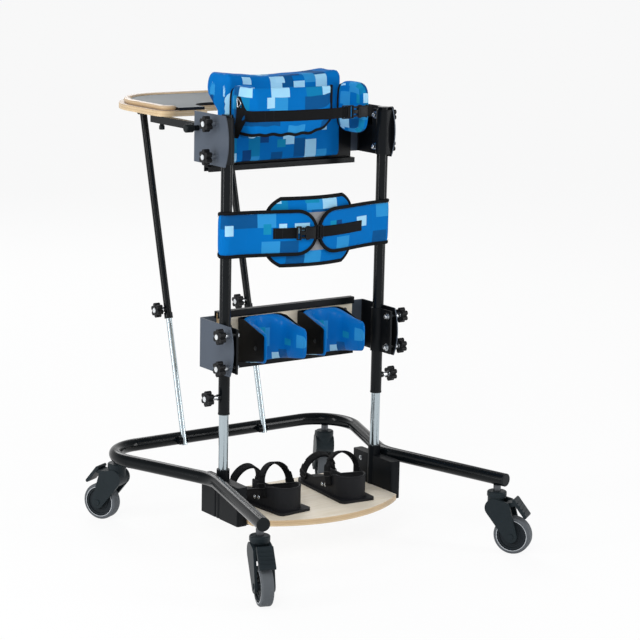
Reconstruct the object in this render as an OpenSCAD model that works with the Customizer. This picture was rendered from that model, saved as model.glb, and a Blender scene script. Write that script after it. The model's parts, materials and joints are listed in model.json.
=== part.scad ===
// Standing frame: castor base, telescopic uprights, knee, pelvic and chest supports, tray on struts.
// Millimetres. +Z up, the person faces +Y, the uprights stand at y = 0 before the last shift.

/* [Base frame] */
// Outer diameter of the base tube
base_tube_d = 35; // [30:1:40]
// Wall of the base tube
base_tube_wall = 2.5; // [1.5:0.5:3.5]
// Height of the underside of the base tube
base_under_z = 180; // [176:1:200]
// Half width over the rear leg ends
leg_end_x = 381; // [340:1:420]
// Distance of the rear leg ends behind the uprights
leg_end_y = 394; // [350:1:450]
// Half width at the theoretical front corner
corner_x = 426; // [400:1:440]
// Distance of the front cross tube ahead of the uprights
front_y = 405; // [380:1:440]
// Bend radius beside the uprights
waist_bend_r = 120; // [90:1:150]
// Bend radius of the front corners
corner_bend_r = 105; // [80:1:120]
// Depth of the plug of an end cap
cap_plug = 16; // [10:1:24]
// Thickness of the head of an end cap
cap_head = 4; // [3:0.5:6]

/* [Castors] */
// Wheel diameter
wheel_d = 100; // [96:1:104]
// Wheel width over the tyre
wheel_w = 32; // [28:1:34]
// Trail of the axle behind the swivel
castor_trail = 48; // [42:1:52]
// Width over the fork cheeks
fork_w = 52; // [48:1:56]
// Thickness of a fork cheek
fork_cheek = 7; // [6:0.5:8]
// Height of the top of the fork
fork_top_z = 164; // [162:1:168]
// Diameter of the swivel cap
fork_cap_d = 52; // [48:1:56]
// Diameter of the stem collar
stem_collar_d = 20; // [18:1:24]
// Diameter of the swivel pintle
pintle_d = 14; // [12:1:16]
// Diameter of the stem inside the base tube
spigot_d = 12; // [10:1:14]
// Axle diameter
axle_d = 8; // [6:1:10]
// Distance of the rear stems from the leg ends
rear_stem_inset = 24; // [20:1:40]
// Place of the front stems round the corner bend
front_stem_turn = 47; // [30:1:60]
// Swivel rest angle of the rear left castor
rear_left_turn = 20; // [0:1:60]
// Swivel rest angle of the rear right castor
rear_right_turn = 34; // [0:1:60]
// Swivel rest angle of the front castors
front_castor_turn = 28; // [0:1:60]
// Width of the brake pedal
pedal_w = 42; // [40:1:50]

/* [Uprights] */
// Distance of an upright from the middle
upright_x = 245; // [235:1:260]
// Diameter of the sliding upper tube
outer_tube_d = 30; // [29:0.5:32]
// Wall of the sliding upper tube
outer_tube_wall = 2; // [1.5:0.25:2.25]
// Rise of the upper tube past the chest brackets
upright_past = 2; // [0:1:8]
// Drop of the lower end of the upper tube below the middle of the knee unit
outer_drop = 172; // [165:1:180]
// Diameter of the chrome inner tube
inner_tube_d = 25; // [24:0.5:25.5]
// Wall of the chrome inner tube
inner_tube_wall = 2; // [1.5:0.25:2.5]
// Length of the inner tube inside the upper tube
inner_overlap = 327; // [280:1:380]
// Length of the guide bush
bush_len = 30; // [24:1:34]
// Height of the height clamp above the lower end of the upper tube
clamp_up = 43; // [39:1:47]

/* [Foot support] */
// Diameter of the upright socket
socket_d = 34; // [33:0.5:36]
// Top of the upright socket
socket_top_z = 222; // [215:1:230]
// Thickness of the ledge under the footplate
ledge_t = 5; // [4:0.5:8]
// Height of the hanger boxes above the footplate
hanger_up = 83; // [76:1:98]
// Width of a hanger box
hanger_w = 30; // [26:1:32]
// Front end of the hangers
hanger_front_y = 80; // [70:1:95]
// Rear end of the hangers
hanger_rear_y = 98; // [90:1:112]
// Wall of the hanger box
hanger_wall = 3; // [2:0.5:4]
// Height of the top of the footplate
foot_top_z = 113; // [110:1:116]
// Thickness of the footplate
foot_t = 16; // [12:1:18]
// Front edge of the footplate
foot_front_y = 150; // [120:1:160]
// Rear corners of the footplate
foot_rear_y = 122; // [112:1:130]
// Bow of the rear edge of the footplate
foot_bow = 80; // [60:1:100]
// Distance of a sandal from the middle
sandal_x = 112; // [105:1:120]
// Sandal toe out angle
sandal_turn = 5; // [0:1:8]
// Width of a sandal sole
sole_w = 104; // [96:1:108]
// Length of a sandal sole
sole_len = 270; // [240:1:280]
// Thickness of a sandal sole
sole_t = 7; // [5:0.5:9]
// Radius of the heel cup
heel_r = 43; // [40:1:46]
// Height of the heel cup
heel_h = 58; // [50:1:66]
// Width of the sandal webbing
sandal_web = 27; // [24:1:30]

/* [Knee support] */
// Middle height of the knee unit
knee_z = 545; // [540:1:550]
// Gap between the ends of the knee board and the middle of the uprights
knee_board_in = 31; // [27:1:37]
// Height of the knee board
knee_board_h = 150; // [146:1:156]
// Thickness of the knee board
knee_board_t = 12; // [10:1:14]
// Front face of the knee board
knee_board_y = 89; // [86:1:92]
// Width of a knee cup
knee_cup_w = 136; // [130:1:140]
// Height of a knee cup
knee_cup_h = 116; // [108:1:126]
// Depth of a knee cup
knee_cup_deep = 132; // [110:1:140]
// Distance of a knee cup from the middle
knee_cup_x = 94; // [86:1:96]
// Thickness of the cup shell
knee_shell_t = 3; // [2:0.5:4]
// Thickness of the cup padding
knee_foam = 20; // [16:1:22]

/* [Pelvic support] */
// Place of the pelvic belt between knee and chest unit
pelvic_share = 0.5524; // [0.54:0.002:0.56]
// Height of the pelvic belt
pelvic_belt_h = 112; // [104:1:116]
// Bulge of the belt behind the uprights
pelvic_bulge = 50; // [40:1:60]
// Height of the pelvic pad
pelvic_pad_h = 174; // [160:1:180]
// Half width of the pelvic pad
pelvic_pad_x = 134; // [120:1:140]
// Height of the webbing
webbing_h = 28; // [25:1:30]

/* [Chest support] */
// Middle height of the chest brackets
chest_z = 1079; // [1076:1:1082]
// Front face of the chest board
chest_board_y = 130; // [127:1:132]
// Thickness of the chest board
chest_board_t = 4; // [3:0.5:5]
// Gap between the ends of the chest board and the middle of the uprights
chest_board_in = 13; // [9:1:17]
// Gap between the ends of the chest pad and the middle of the uprights
chest_pad_in = 61; // [59:1:67]
// Rear face of the chest pad
chest_pad_rear = 98; // [95:1:101]
// Front face of the chest pad
chest_pad_front = 158; // [154:1:162]
// Drop of the chest pad below the middle of the chest brackets
chest_pad_drop = 74; // [70:1:76]
// Height of the chest pad
chest_pad_h = 235; // [228:1:240]
// Gap between a lateral pad and the middle of the uprights
lateral_in = 58; // [55:1:61]
// Thickness of a lateral pad
lateral_t = 36; // [32:1:40]
// Rear end of a lateral pad
lateral_rear = 25; // [20:1:30]
// Height of a lateral pad
lateral_high = 136; // [130:1:140]
// Drop of a lateral pad below the top of the chest pad
lateral_drop = 26; // [22:1:30]

/* [Tray] */
// Rise of the underside of the tray above the middle of the chest brackets
tray_up = 33; // [29:1:37]
// Thickness of the tray board
tray_t = 15; // [12:1:18]
// Reach of the tray past the middle of an upright
tray_past = 25; // [21:1:31]
// Rear edge of the tray
tray_rear = 278; // [274:1:284]
// Depth of the tray
tray_deep = 367; // [357:1:377]
// Front corner radius of the tray
tray_corner = 190; // [150:1:200]
// Rear corner radius of the tray
tray_rear_corner = 42; // [36:1:46]
// Width of the rim strip
rim_w = 18; // [14:1:20]
// Height of the rim strip
rim_h = 13; // [12:1:18]
// Ledge of the board outside the rim strip
rim_set = 14; // [10:1:16]
// Thickness of the tray inlay
mat_t = 8; // [6:0.5:10]
// Side of the square rails
rail_side = 20; // [18:1:22]
// Length of the rails under the tray
rail_under = 77; // [67:1:87]

/* [Struts] */
// Distance of a strut from the middle
strut_x = 133; // [125:1:140]
// Diameter of the upper strut tube
strut_tube_d = 20; // [19:0.5:22]
// Diameter of the chrome strut rod
strut_rod_d = 16; // [15:0.5:16.5]
// Distance of the strut top behind the front edge of the tray
strut_inset = 35; // [31:1:45]
// Drop of the strut top pivot below the tray
strut_drop = 18; // [16:1:22]
// Place of the lower end of the strut tube along the strut
strut_tube_from = 342; // [330:1:360]

/* [Knobs] */
// Star knob diameter
knob_d = 41; // [38:1:44]
// Star knob head height
knob_h = 16; // [14:1:20]
// Diameter of the knob screw
stud_d = 8; // [7:0.5:9]

/* [Hidden] */
$fn = 64;
// Overrun of every cut
over = 1;
// Gap of a running fit, each side
slip = 0.08;
// Gap between neighbouring pieces
seat = 0.3;
// Gap between pieces that pass each other
pass = 1;
plate = 3;
wide = 4000;

// Heights and widths that follow others
bracket_h = 130;
outer_bottom_z = knee_z - outer_drop;
height_clamp_z = outer_bottom_z + clamp_up;
inner_top_z = outer_bottom_z + inner_overlap;
upright_top_z = chest_z + bracket_h/2 + upright_past;
pelvic_z = knee_z + (chest_z - knee_z)*pelvic_share;
hanger_bottom_z = foot_top_z - foot_t - ledge_t;
hanger_top_z = foot_top_z + hanger_up;
knee_board_x = upright_x - knee_board_in;
chest_board_x = upright_x - chest_board_in;
chest_pad_x = upright_x - chest_pad_in;
chest_pad_low = chest_z - chest_pad_drop;
chest_pad_top = chest_pad_low + chest_pad_h;
lateral_x = upright_x - lateral_in;
lateral_top = chest_pad_top - lateral_drop;
lateral_low = lateral_top - lateral_high;
tray_z = chest_z + tray_up;
tray_x = upright_x + tray_past;
tray_front = tray_rear + tray_deep;
rail_front = tray_rear + rail_under;
strut_top_y = tray_front - strut_inset;
strut_top_z = tray_z - strut_drop;

// Base frame
base_z = base_under_z + base_tube_d/2;
waist_ref = upright_x + socket_d/2 + base_tube_d/2;
leg_turn = atan((leg_end_x - waist_ref)/leg_end_y);
side_turn = atan((corner_x - waist_ref)/front_y);
waist_half = 90 - (leg_turn + side_turn)/2;
waist_x = waist_ref + seat - waist_bend_r*(1/sin(waist_half) - 1);
base_path = [[leg_end_x, -leg_end_y], [waist_x, 0], [corner_x, front_y],
    [-corner_x, front_y], [-waist_x, 0], [-leg_end_x, -leg_end_y]];
base_bends = [0, waist_bend_r, corner_bend_r, corner_bend_r, waist_bend_r, 0];

function unit2(v) = v/norm(v);
function half_bend(a, v, b) = acos(unit2(a - v)*unit2(b - v))/2;
function bend_start(a, v, b, r) = v + unit2(a - v)*r/tan(half_bend(a, v, b));
function bend_mid(a, v, b, r) = v + unit2(unit2(a - v) + unit2(b - v))*r/sin(half_bend(a, v, b));
function arc_points(c, r, from, to, n) =
    [for (i = [0:n]) c + r*[cos(from + (to - from)*i/n), sin(from + (to - from)*i/n)]];
function path_normal(p, i) =
    let (d = p[min(i + 1, len(p) - 1)] - p[max(i - 1, 0)]) unit2([-d[1], d[0]]);
function ribbon(p, t) = concat(
    [for (i = [0:len(p) - 1]) p[i] + path_normal(p, i)*t/2],
    [for (i = [len(p) - 1:-1:0]) p[i] - path_normal(p, i)*t/2]);
function moved(p, t) = [for (i = [0:len(p) - 1]) p[i] + path_normal(p, i)*t];
function smooth(t) = t*t*(3 - 2*t);

leg_way = unit2(base_path[1] - base_path[0]);
rear_stem = base_path[0] + leg_way*rear_stem_inset;
corner_mid = bend_mid(base_path[1], base_path[2], base_path[3], corner_bend_r);
front_stem = corner_mid + corner_bend_r*[cos(front_stem_turn), sin(front_stem_turn)];
castors = [
    ["rear_left", [-rear_stem[0], rear_stem[1]], -rear_left_turn],
    ["rear_right", rear_stem, rear_right_turn],
    ["front_left", [-front_stem[0], front_stem[1]], 180 + front_castor_turn],
    ["front_right", front_stem, 180 - front_castor_turn]];

// Brake pedal, from the castor's swivel, trailing way is -Y
pedal_pivot = [-33, 132];
pedal_top = [-52, 146];
pedal_tip = [-84, 106];
pedal_round = 4.5;
pedal_boss_r = 7;
pedal_pin_d = 5;
pedal_arm_w = fork_w - 2*fork_cheek - 2*pass;
pedal_ribs = 4;
pedal_rib_r = 1.6;

// Frame shift so that the box is centred on the origin
tray_reach = tray_front;
function castor_back(turn) = -rear_stem[1] + (pedal_round - pedal_tip[0])*cos(turn) + pedal_w/2*sin(turn);
castor_reach = max(castor_back(rear_left_turn), castor_back(rear_right_turn));
frame_shift = (castor_reach - tray_reach)/2;

module both() {
    children();
    mirror([1, 0, 0]) children();
}

// 2D (y, z) outline pushed out along X
module side_plate(x, t) {
    translate([x, 0, 0]) rotate([90, 0, 90]) linear_extrude(t) children();
}

// 2D (x, z) outline pushed out along Y towards the rear
module face_plate(y, t) {
    translate([0, y, 0]) rotate([90, 0, 0]) linear_extrude(t) children();
}

module span(from, to) {
    translate(from) cube(to - from);
}

module span2(from, to) {
    translate(from) square(to - from);
}

module round_rect(from, to, r) {
    span2([from[0] + r, from[1]], [to[0] - r, to[1]]);
    span2([from[0], from[1] + r], [to[0], to[1] - r]);
    for (x = [from[0] + r, to[0] - r], y = [from[1] + r, to[1] - r]) translate([x, y]) circle(r);
}

module run(a, b, d) {
    translate([a[0], a[1], 0]) rotate([0, 90, atan2(b[1] - a[1], b[0] - a[0])])
        cylinder(h = norm(b - a), d = d);
}

module bend(a, v, b, r, d) {
    mid = bend_mid(a, v, b, r);
    one = bend_start(a, v, b, r) - mid;
    two = bend_start(b, v, a, r) - mid;
    turn_one = atan2(one[1], one[0]);
    turn = (atan2(two[1], two[0]) - turn_one + 720) % 360;
    from = turn > 180 ? atan2(two[1], two[0]) : turn_one;
    translate([mid[0], mid[1], 0]) rotate([0, 0, from])
        rotate_extrude(angle = turn > 180 ? 360 - turn : turn) translate([r, 0]) circle(d = d);
}

// Runs and bends meet inside a band a hair thicker than the rod
module path_rod(p, r, d, past) {
    last = len(p) - 1;
    for (i = [0:last - 1]) {
        from = i == 0 ? p[0] + unit2(p[0] - p[1])*past : bend_start(p[i + 1], p[i], p[i - 1], r[i]);
        to = i + 1 == last ? p[last] + unit2(p[last] - p[last - 1])*past
            : bend_start(p[i], p[i + 1], p[i + 2], r[i + 1]);
        way = unit2(to - from)*pass;
        run(from, to, d);
        if (i > 0) run(from - way, from + way, d + seat);
        if (i + 1 < last) run(to - way, to + way, d + seat);
    }
    for (i = [1:last - 1]) bend(p[i - 1], p[i], p[i + 1], r[i], d);
}

// Solid between two grids of points with the same edges
module grid_solid(front, back) {
    n = len(front);
    m = len(front[0]);
    s = n*m;
    points = concat([for (row = front) for (p = row) p], [for (row = back) for (p = row) p]);
    skin = [for (i = [0:n - 2]) for (j = [0:m - 2]) each
        [[i*m + j, (i + 1)*m + j, (i + 1)*m + j + 1], [i*m + j, (i + 1)*m + j + 1, i*m + j + 1]]];
    under = [for (f = skin) [s + f[0], s + f[2], s + f[1]]];
    rim = concat([for (i = [0:n - 1]) i*m], [for (j = [1:m - 1]) (n - 1)*m + j],
        [for (i = [n - 2:-1:0]) i*m + m - 1], [for (j = [m - 2:-1:1]) j]);
    k = len(rim);
    sides = [for (i = [0:k - 1]) each [[rim[i], s + rim[(i + 1) % k], rim[(i + 1) % k]],
        [rim[i], s + rim[i], s + rim[(i + 1) % k]]]];
    polyhedron(points, concat(skin, under, sides));
}

// Solid through a row of rings
module ring_solid(rings) {
    n = len(rings);
    m = len(rings[0]);
    points = [for (r = rings) for (p = r) p];
    skin = [for (i = [0:n - 2]) for (j = [0:m - 1]) each
        [[i*m + j, i*m + (j + 1) % m, (i + 1)*m + (j + 1) % m],
        [i*m + j, (i + 1)*m + (j + 1) % m, (i + 1)*m + j]]];
    polyhedron(points, concat(skin, [[for (j = [m - 1:-1:0]) j]], [[for (j = [0:m - 1]) (n - 1)*m + j]]));
}

// Base frame

module base_frame() color("#15161a") difference() {
    translate([0, 0, base_z]) path_rod(base_path, base_bends, base_tube_d, 0);
    translate([0, 0, base_z]) path_rod(base_path, base_bends, base_tube_d - 2*base_tube_wall, over);
    for (c = castors) translate([c[1][0], c[1][1], base_under_z - over])
        cylinder(d = spigot_d + 2*slip, h = base_tube_d/2);
}

module frame_end_caps() color("#0d0d0f") both() {
    r = base_tube_d/2;
    plug_r = r - base_tube_wall - slip;
    edge = cap_head/2;
    translate([base_path[0][0], base_path[0][1], base_z])
        rotate([0, 90, atan2(-leg_way[1], -leg_way[0])])
        rotate_extrude() polygon(concat([[0, -cap_plug], [plug_r, -cap_plug], [plug_r, 0], [r, 0]],
            arc_points([r - edge, cap_head - edge], edge, 0, 90, 6), [[0, cap_head]]));
}

module caster_stems() color("#1b1c1f") for (c = castors) translate([c[1][0], c[1][1], 0]) {
    bore_deep = 30;
    translate([0, 0, fork_top_z + seat]) cylinder(d = stem_collar_d, h = base_under_z - fork_top_z - seat);
    translate([0, 0, fork_top_z - bore_deep]) cylinder(d = pintle_d, h = bore_deep + pass);
    translate([0, 0, base_under_z - pass]) cylinder(d = spigot_d, h = base_tube_d - 2*base_tube_wall);
}

// Castors

module at_castor(c) {
    translate([c[1][0], c[1][1], 0]) rotate([0, 0, c[2]]) children();
}

module at_axle() {
    translate([0, -castor_trail, wheel_d/2]) rotate([0, 90, 0]) children();
}

module caster_fork(c) color("#232428") at_castor(c) {
    axle_z = wheel_d/2;
    head_z = 122;
    head_r = 25;
    arm_r = 17;
    lug_r = 9;
    cap_h = 13;
    cap_edge = 4;
    inner_w = fork_w - 2*fork_cheek;
    wheel_room = 3;
    bore_deep = 31;
    core_back = 15;
    head_h = fork_top_z - cap_h - head_z;
    difference() {
        union() {
            for (x = [-fork_w/2, fork_w/2 - fork_cheek]) side_plate(x, fork_cheek) hull() {
                translate([0, head_z]) circle(head_r, $fn = 32);
                translate([-castor_trail, axle_z]) circle(arm_r, $fn = 32);
                translate(pedal_pivot) circle(lug_r, $fn = 32);
            }
            side_plate(-inner_w/2 - over, inner_w + 2*over) {
                translate([0, head_z]) circle(head_r - pass);
            }
            translate([0, 0, head_z]) cylinder(d = fork_cap_d - cap_edge, h = head_h + over);
            translate([0, 0, fork_top_z - cap_h]) rotate_extrude() polygon(concat(
                [[0, 0], [fork_cap_d/2, 0]],
                arc_points([fork_cap_d/2 - cap_edge, cap_h - cap_edge], cap_edge, 0, 90, 6), [[0, cap_h]]));
        }
        at_axle() cylinder(r = wheel_d/2 + wheel_room, h = inner_w, center = true);
        span([-inner_w/2, -wheel_d, head_z - head_r], [inner_w/2, -core_back, head_z + head_r]);
        translate([0, 0, fork_top_z - bore_deep]) cylinder(d = pintle_d + 2*slip, h = bore_deep + over);
    }
    at_axle() {
        bolt_head_d = 15;
        bolt_head_h = 3;
        cylinder(d = axle_d, h = fork_w - over, center = true);
        for (s = [-1, 1]) translate([0, 0, s*(fork_w + bolt_head_h)/2 - s*over])
            cylinder(d = bolt_head_d, h = bolt_head_h, center = true);
    }
    translate([0, pedal_pivot[0], pedal_pivot[1]]) rotate([0, 90, 0])
        cylinder(d = pedal_pin_d, h = fork_w - over, center = true);
}

module caster_wheel(c) color("#6d7075") at_castor(c) at_axle() {
    r = wheel_d/2;
    h = wheel_w/2;
    hub_h = (fork_w - 2*fork_cheek)/2 - pass;
    hub_r = 11;
    ring_r = 25;
    ring_t = 3;
    web_h = 11;
    ring_h = 13;
    rim_r = 37;
    rim_t = 3;
    groove = 1.5;
    groove_h = h - 2;
    shoulder = 6;
    bore_r = axle_d/2 + slip;
    half = concat([[bore_r, hub_h], [hub_r, hub_h], [hub_r, web_h], [ring_r - ring_t, web_h],
        [ring_r - ring_t, ring_h], [ring_r, ring_h], [ring_r, web_h], [rim_r - rim_t, web_h],
        [rim_r - rim_t, h - groove], [rim_r, h - groove], [rim_r, groove_h], [rim_r + groove, groove_h],
        [rim_r + groove, h]], arc_points([r - shoulder, h - shoulder], shoulder, 90, 0, 6));
    rotate_extrude() polygon(concat(half, [for (i = [len(half) - 1:-1:0]) [half[i][0], -half[i][1]]]));
}

module brake_pedal(c) color("#2a2b2f") at_castor(c) {
    lean = pedal_tip - pedal_top;
    out = unit2([lean[1], -lean[0]]);
    foot_share = 0.2;
    difference() {
        union() {
            side_plate(-pedal_arm_w/2, pedal_arm_w) hull() {
                translate(pedal_pivot) circle(pedal_boss_r, $fn = 32);
                translate(pedal_top + lean*foot_share) circle(pedal_round, $fn = 32);
            }
            side_plate(-pedal_w/2, pedal_w) hull() {
                translate(pedal_top) circle(pedal_round, $fn = 32);
                translate(pedal_tip) circle(pedal_round, $fn = 32);
            }
            for (i = [1:pedal_ribs]) side_plate(-pedal_w/2 + pedal_round, pedal_w - 2*pedal_round)
                translate(pedal_top + lean*i/(pedal_ribs + 1) + out*pedal_round) circle(pedal_rib_r);
        }
        translate([-pedal_w, pedal_pivot[0], pedal_pivot[1]]) rotate([0, 90, 0])
            cylinder(d = pedal_pin_d + 2*slip, h = 2*pedal_w);
    }
}

// Foot support

hanger_out = upright_x + socket_d/2;
hanger_in = hanger_out - hanger_w;

module footplate_hangers() color("#1d1e22") both() difference() {
    ledge_in = 60;
    edge = 5;
    joint = socket_d/4;
    union() {
        translate([upright_x, 0, hanger_bottom_z])
            cylinder(d = socket_d, h = socket_top_z - hanger_bottom_z);
        for (box = [[joint, hanger_front_y], [-hanger_rear_y, -joint]])
            translate([0, 0, hanger_bottom_z]) linear_extrude(hanger_top_z - hanger_bottom_z) difference() {
                round_rect([hanger_in, box[0]], [hanger_out, box[1]], edge);
                round_rect([hanger_in + hanger_wall, box[0] + hanger_wall],
                    [hanger_out - hanger_wall, box[1] - hanger_wall], edge - hanger_wall);
            }
        for (box = [[joint, hanger_front_y], [-hanger_rear_y, -joint]])
            translate([0, 0, hanger_top_z - hanger_wall]) linear_extrude(hanger_wall)
                round_rect([hanger_in, box[0]], [hanger_out, box[1]], edge);
        span([hanger_in - ledge_in, -hanger_rear_y + edge, hanger_bottom_z],
            [hanger_in + hanger_wall, hanger_front_y - edge, hanger_bottom_z + ledge_t]);
    }
    translate([upright_x, 0, hanger_bottom_z + ledge_t])
        cylinder(d = inner_tube_d + 2*slip, h = socket_top_z);
}

module upright_inner_tubes() color("#d9dce0") both() translate([upright_x, 0, 0]) difference() {
    bottom = foot_top_z - foot_t + seat;
    translate([0, 0, bottom]) cylinder(d = inner_tube_d, h = inner_top_z - bottom);
    translate([0, 0, bottom - over])
        cylinder(d = inner_tube_d - 2*inner_tube_wall, h = inner_top_z - bottom + 2*over);
}

module footplate() color("#dcc7a0") translate([0, 0, foot_top_z - foot_t]) linear_extrude(foot_t)
difference() {
    half = hanger_in - seat;
    r = (half*half + foot_bow*foot_bow)/(2*foot_bow);
    front_r = 40;
    union() {
        span2([-half, -foot_rear_y], [half, foot_front_y - front_r]);
        span2([-half + front_r, 0], [half - front_r, foot_front_y]);
        for (s = [-1, 1]) translate([s*(half - front_r), foot_front_y - front_r]) circle(front_r);
        intersection() {
            translate([0, -foot_rear_y - foot_bow + r]) circle(r, $fn = 128);
            span2([-half, -foot_rear_y - foot_bow - over], [half, -foot_rear_y + over]);
        }
    }
    for (s = [-1, 1]) translate([s*upright_x, 0]) circle(d = socket_d + 2*seat);
}

sandal_y = 2;

module at_sandals() {
    both() translate([sandal_x, sandal_y, foot_top_z + seat/10]) rotate([0, 0, -sandal_turn]) children();
}

heel_set = 10;
heel_y = heel_r - sole_len/2 + heel_set;
heel_wall = 4;
side_from_share = 0.62;

module sandals() color("#17181b") at_sandals() {
    toe_r = 44;
    tail_r = 14;
    wall_front = 185;
    drop = 34;
    linear_extrude(sole_t) {
        span2([-sole_w/2, -sole_len/2 + tail_r], [sole_w/2, sole_len/2 - toe_r]);
        span2([-sole_w/2 + tail_r, -sole_len/2], [sole_w/2 - tail_r, 0]);
        span2([-sole_w/2 + toe_r, 0], [sole_w/2 - toe_r, sole_len/2]);
        for (s = [-1, 1]) {
            translate([s*(sole_w/2 - tail_r), -sole_len/2 + tail_r]) circle(tail_r);
            translate([s*(sole_w/2 - toe_r), sole_len/2 - toe_r]) circle(toe_r);
        }
    }
    intersection() {
        translate([0, 0, sole_t - over]) linear_extrude(heel_h + over) difference() {
            union() {
                translate([0, heel_y]) circle(heel_r);
                span2([-heel_r, heel_y], [heel_r, heel_y + wall_front]);
            }
            translate([0, heel_y]) circle(heel_r - heel_wall);
            span2([-heel_r + heel_wall, heel_y], [heel_r - heel_wall, heel_y + wall_front + over]);
        }
        side_plate(-sole_w/2, sole_w) {
            low = sole_t + heel_h - drop;
            polygon([[-sole_len, 0], [heel_y + wall_front, 0], [heel_y + wall_front, low],
                [heel_y + wall_front*side_from_share, low], [heel_y, sole_t + heel_h],
                [-sole_len, sole_t + heel_h]]);
        }
    }
}

module sandal_straps() color("#101113") at_sandals() {
    web_t = 3;
    lay = heel_r + seat;
    ankle_y = 38;
    ankle_up = 60;
    toe_y = 165;
    toe_up = 27;
    bands = [[heel_y + ankle_y, ankle_up, -14], [heel_y + toe_y, toe_up, 12]];
    for (b = bands) translate([0, b[0], sole_t + b[1]]) rotate([b[2], 0, 0])
        translate([0, sandal_web/2, 0]) rotate([90, 0, 0]) linear_extrude(sandal_web) {
            leg = b[1]*side_from_share;
            difference() {
                circle(lay + web_t);
                circle(lay);
                span2([-wide, -wide], [wide, 0]);
            }
            for (s = [-1, 1]) translate([s*(lay + web_t/2), -leg/2])
                square([web_t, leg + seat], center = true);
        }
}

// Uprights

upright_boss = 6;

module upright_outer_tubes() color("#1a1b1f") both() translate([upright_x, 0, 0]) difference() {
    boss_d = 16;
    union() {
        translate([0, 0, outer_bottom_z]) cylinder(d = outer_tube_d, h = upright_top_z - outer_bottom_z);
        translate([0, 0, height_clamp_z]) rotate([0, 90, 0])
            cylinder(d = boss_d, h = outer_tube_d/2 + upright_boss);
    }
    translate([0, 0, outer_bottom_z - over])
        cylinder(d = outer_tube_d - 2*outer_tube_wall, h = upright_top_z - plate - outer_bottom_z + over);
    translate([0, 0, height_clamp_z]) rotate([0, 90, 0]) cylinder(d = stud_d + 2*slip, h = outer_tube_d);
}

module upright_guide_bushes() color("#0e0e10") both() translate([upright_x, 0, outer_bottom_z]) difference() {
    lip = 4;
    union() {
        cylinder(d = outer_tube_d - 2*outer_tube_wall - slip, h = bush_len);
        translate([0, 0, -lip]) cylinder(d = outer_tube_d + pass, h = lip);
    }
    translate([0, 0, -lip - over]) cylinder(d = inner_tube_d + 2*slip, h = bush_len + lip + 2*over);
}

// Clamp brackets

bolt_step = 42;
plate_in = upright_x + outer_tube_d/2 + seat;
plate_out = plate_in + plate;
chest_bolt_y = 30;
knee_bolt_y = -46;
chest_bracket_rear = -32;
knee_bracket_rear = -68;

// Plan of a folded plate: side at plate_in, flange at front, filled in by step
module folded_plan(flange_in, rear, front, bend_r, step) {
    mid = [plate_out - bend_r, front - bend_r];
    span2([flange_in - step, rear - step], [plate_out - bend_r, front - step]);
    span2([flange_in - step, rear - step], [plate_out - step, front - bend_r]);
    translate(mid) circle(bend_r - step);
}

module clamp_bracket(z, rear, front, flange_in, flange_high, bolt_y) {
    bend_r = 6;
    arc_r = 150;
    difference() {
        intersection() {
            translate([0, 0, z - bracket_h/2]) linear_extrude(bracket_h) difference() {
                folded_plan(flange_in, rear, front, bend_r, 0);
                folded_plan(flange_in, rear, front, bend_r, plate);
            }
            side_plate(flange_in - over, plate_out - flange_in + 2*over)
                translate([rear + arc_r, z]) circle(arc_r, $fn = 128);
        }
        for (s = [-1, 1]) translate([plate_in - over, bolt_y, z + s*bolt_step]) rotate([0, 90, 0])
            cylinder(d = stud_d + 2*slip, h = plate + 2*over);
        if (flange_high < z + bracket_h/2)
            span([flange_in - over, rear, flange_high], [plate_in, front + over, z + bracket_h]);
    }
}

// Half clamp round the inner side of an upright, way is the side of its bolts
module clamp_jaw(z, way, bolt_y) {
    jaw_h = 118;
    edge = 14;
    ring_in = outer_tube_d/2 + seat;
    ring_out = ring_in + plate;
    far = abs(bolt_y) + edge;
    heel = plate_in - upright_x - seat;
    translate([upright_x, 0, z]) difference() {
        translate([0, 0, -jaw_h/2]) linear_extrude(jaw_h) mirror([0, way < 0 ? 1 : 0]) {
            difference() {
                circle(ring_out);
                circle(ring_in);
                span2([0, -wide], [wide, wide]);
            }
            span2([-plate, ring_in], [0, far]);
            span2([0, -ring_out], [heel, -ring_in]);
            span2([-plate, far - plate], [plate, far]);
        }
        for (s = [-1, 1]) translate([-plate - over, bolt_y, s*bolt_step]) rotate([0, 90, 0])
            cylinder(d = stud_d + 2*slip, h = plate + 2*over);
    }
}

// Knee support

profile_t = 3;
profile_h = 18;
knee_flange = knee_board_y + profile_t + plate;
knee_flange_reach = 75;
knee_flange_in = upright_x - knee_flange_reach;

module knee_brackets() color("#4a4d54") both()
    clamp_bracket(knee_z, knee_bracket_rear, knee_flange, knee_flange_in, knee_z + bracket_h, knee_bolt_y);

module knee_clamp_jaws() color("#33353a") both() clamp_jaw(knee_z, -1, knee_bolt_y);

module knee_board() color("#d9c39a") {
    edge = 4;
    face_plate(knee_board_y, knee_board_t) round_rect([-knee_board_x, knee_z - knee_board_h/2],
        [knee_board_x, knee_z + knee_board_h/2], edge);
}

module knee_board_profiles() color("#2d2f34") {
    more = 5;
    lip = plate;
    for (s = [-1, 1]) side_plate(-knee_board_x - more, 2*(knee_board_x + more)) difference() {
        z = knee_z + s*(knee_board_h/2 + seat + lip);
        span2([knee_board_y - knee_board_t - profile_t, min(z, z - s*profile_h)],
            [knee_board_y + profile_t, max(z, z - s*profile_h)]);
        span2([knee_board_y - knee_board_t - slip, min(z - s*lip, z - s*profile_h - s*over)],
            [knee_board_y + slip, max(z - s*lip, z - s*profile_h - s*over)]);
    }
}

knee_back = knee_board_y - knee_board_t - profile_t;

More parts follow.
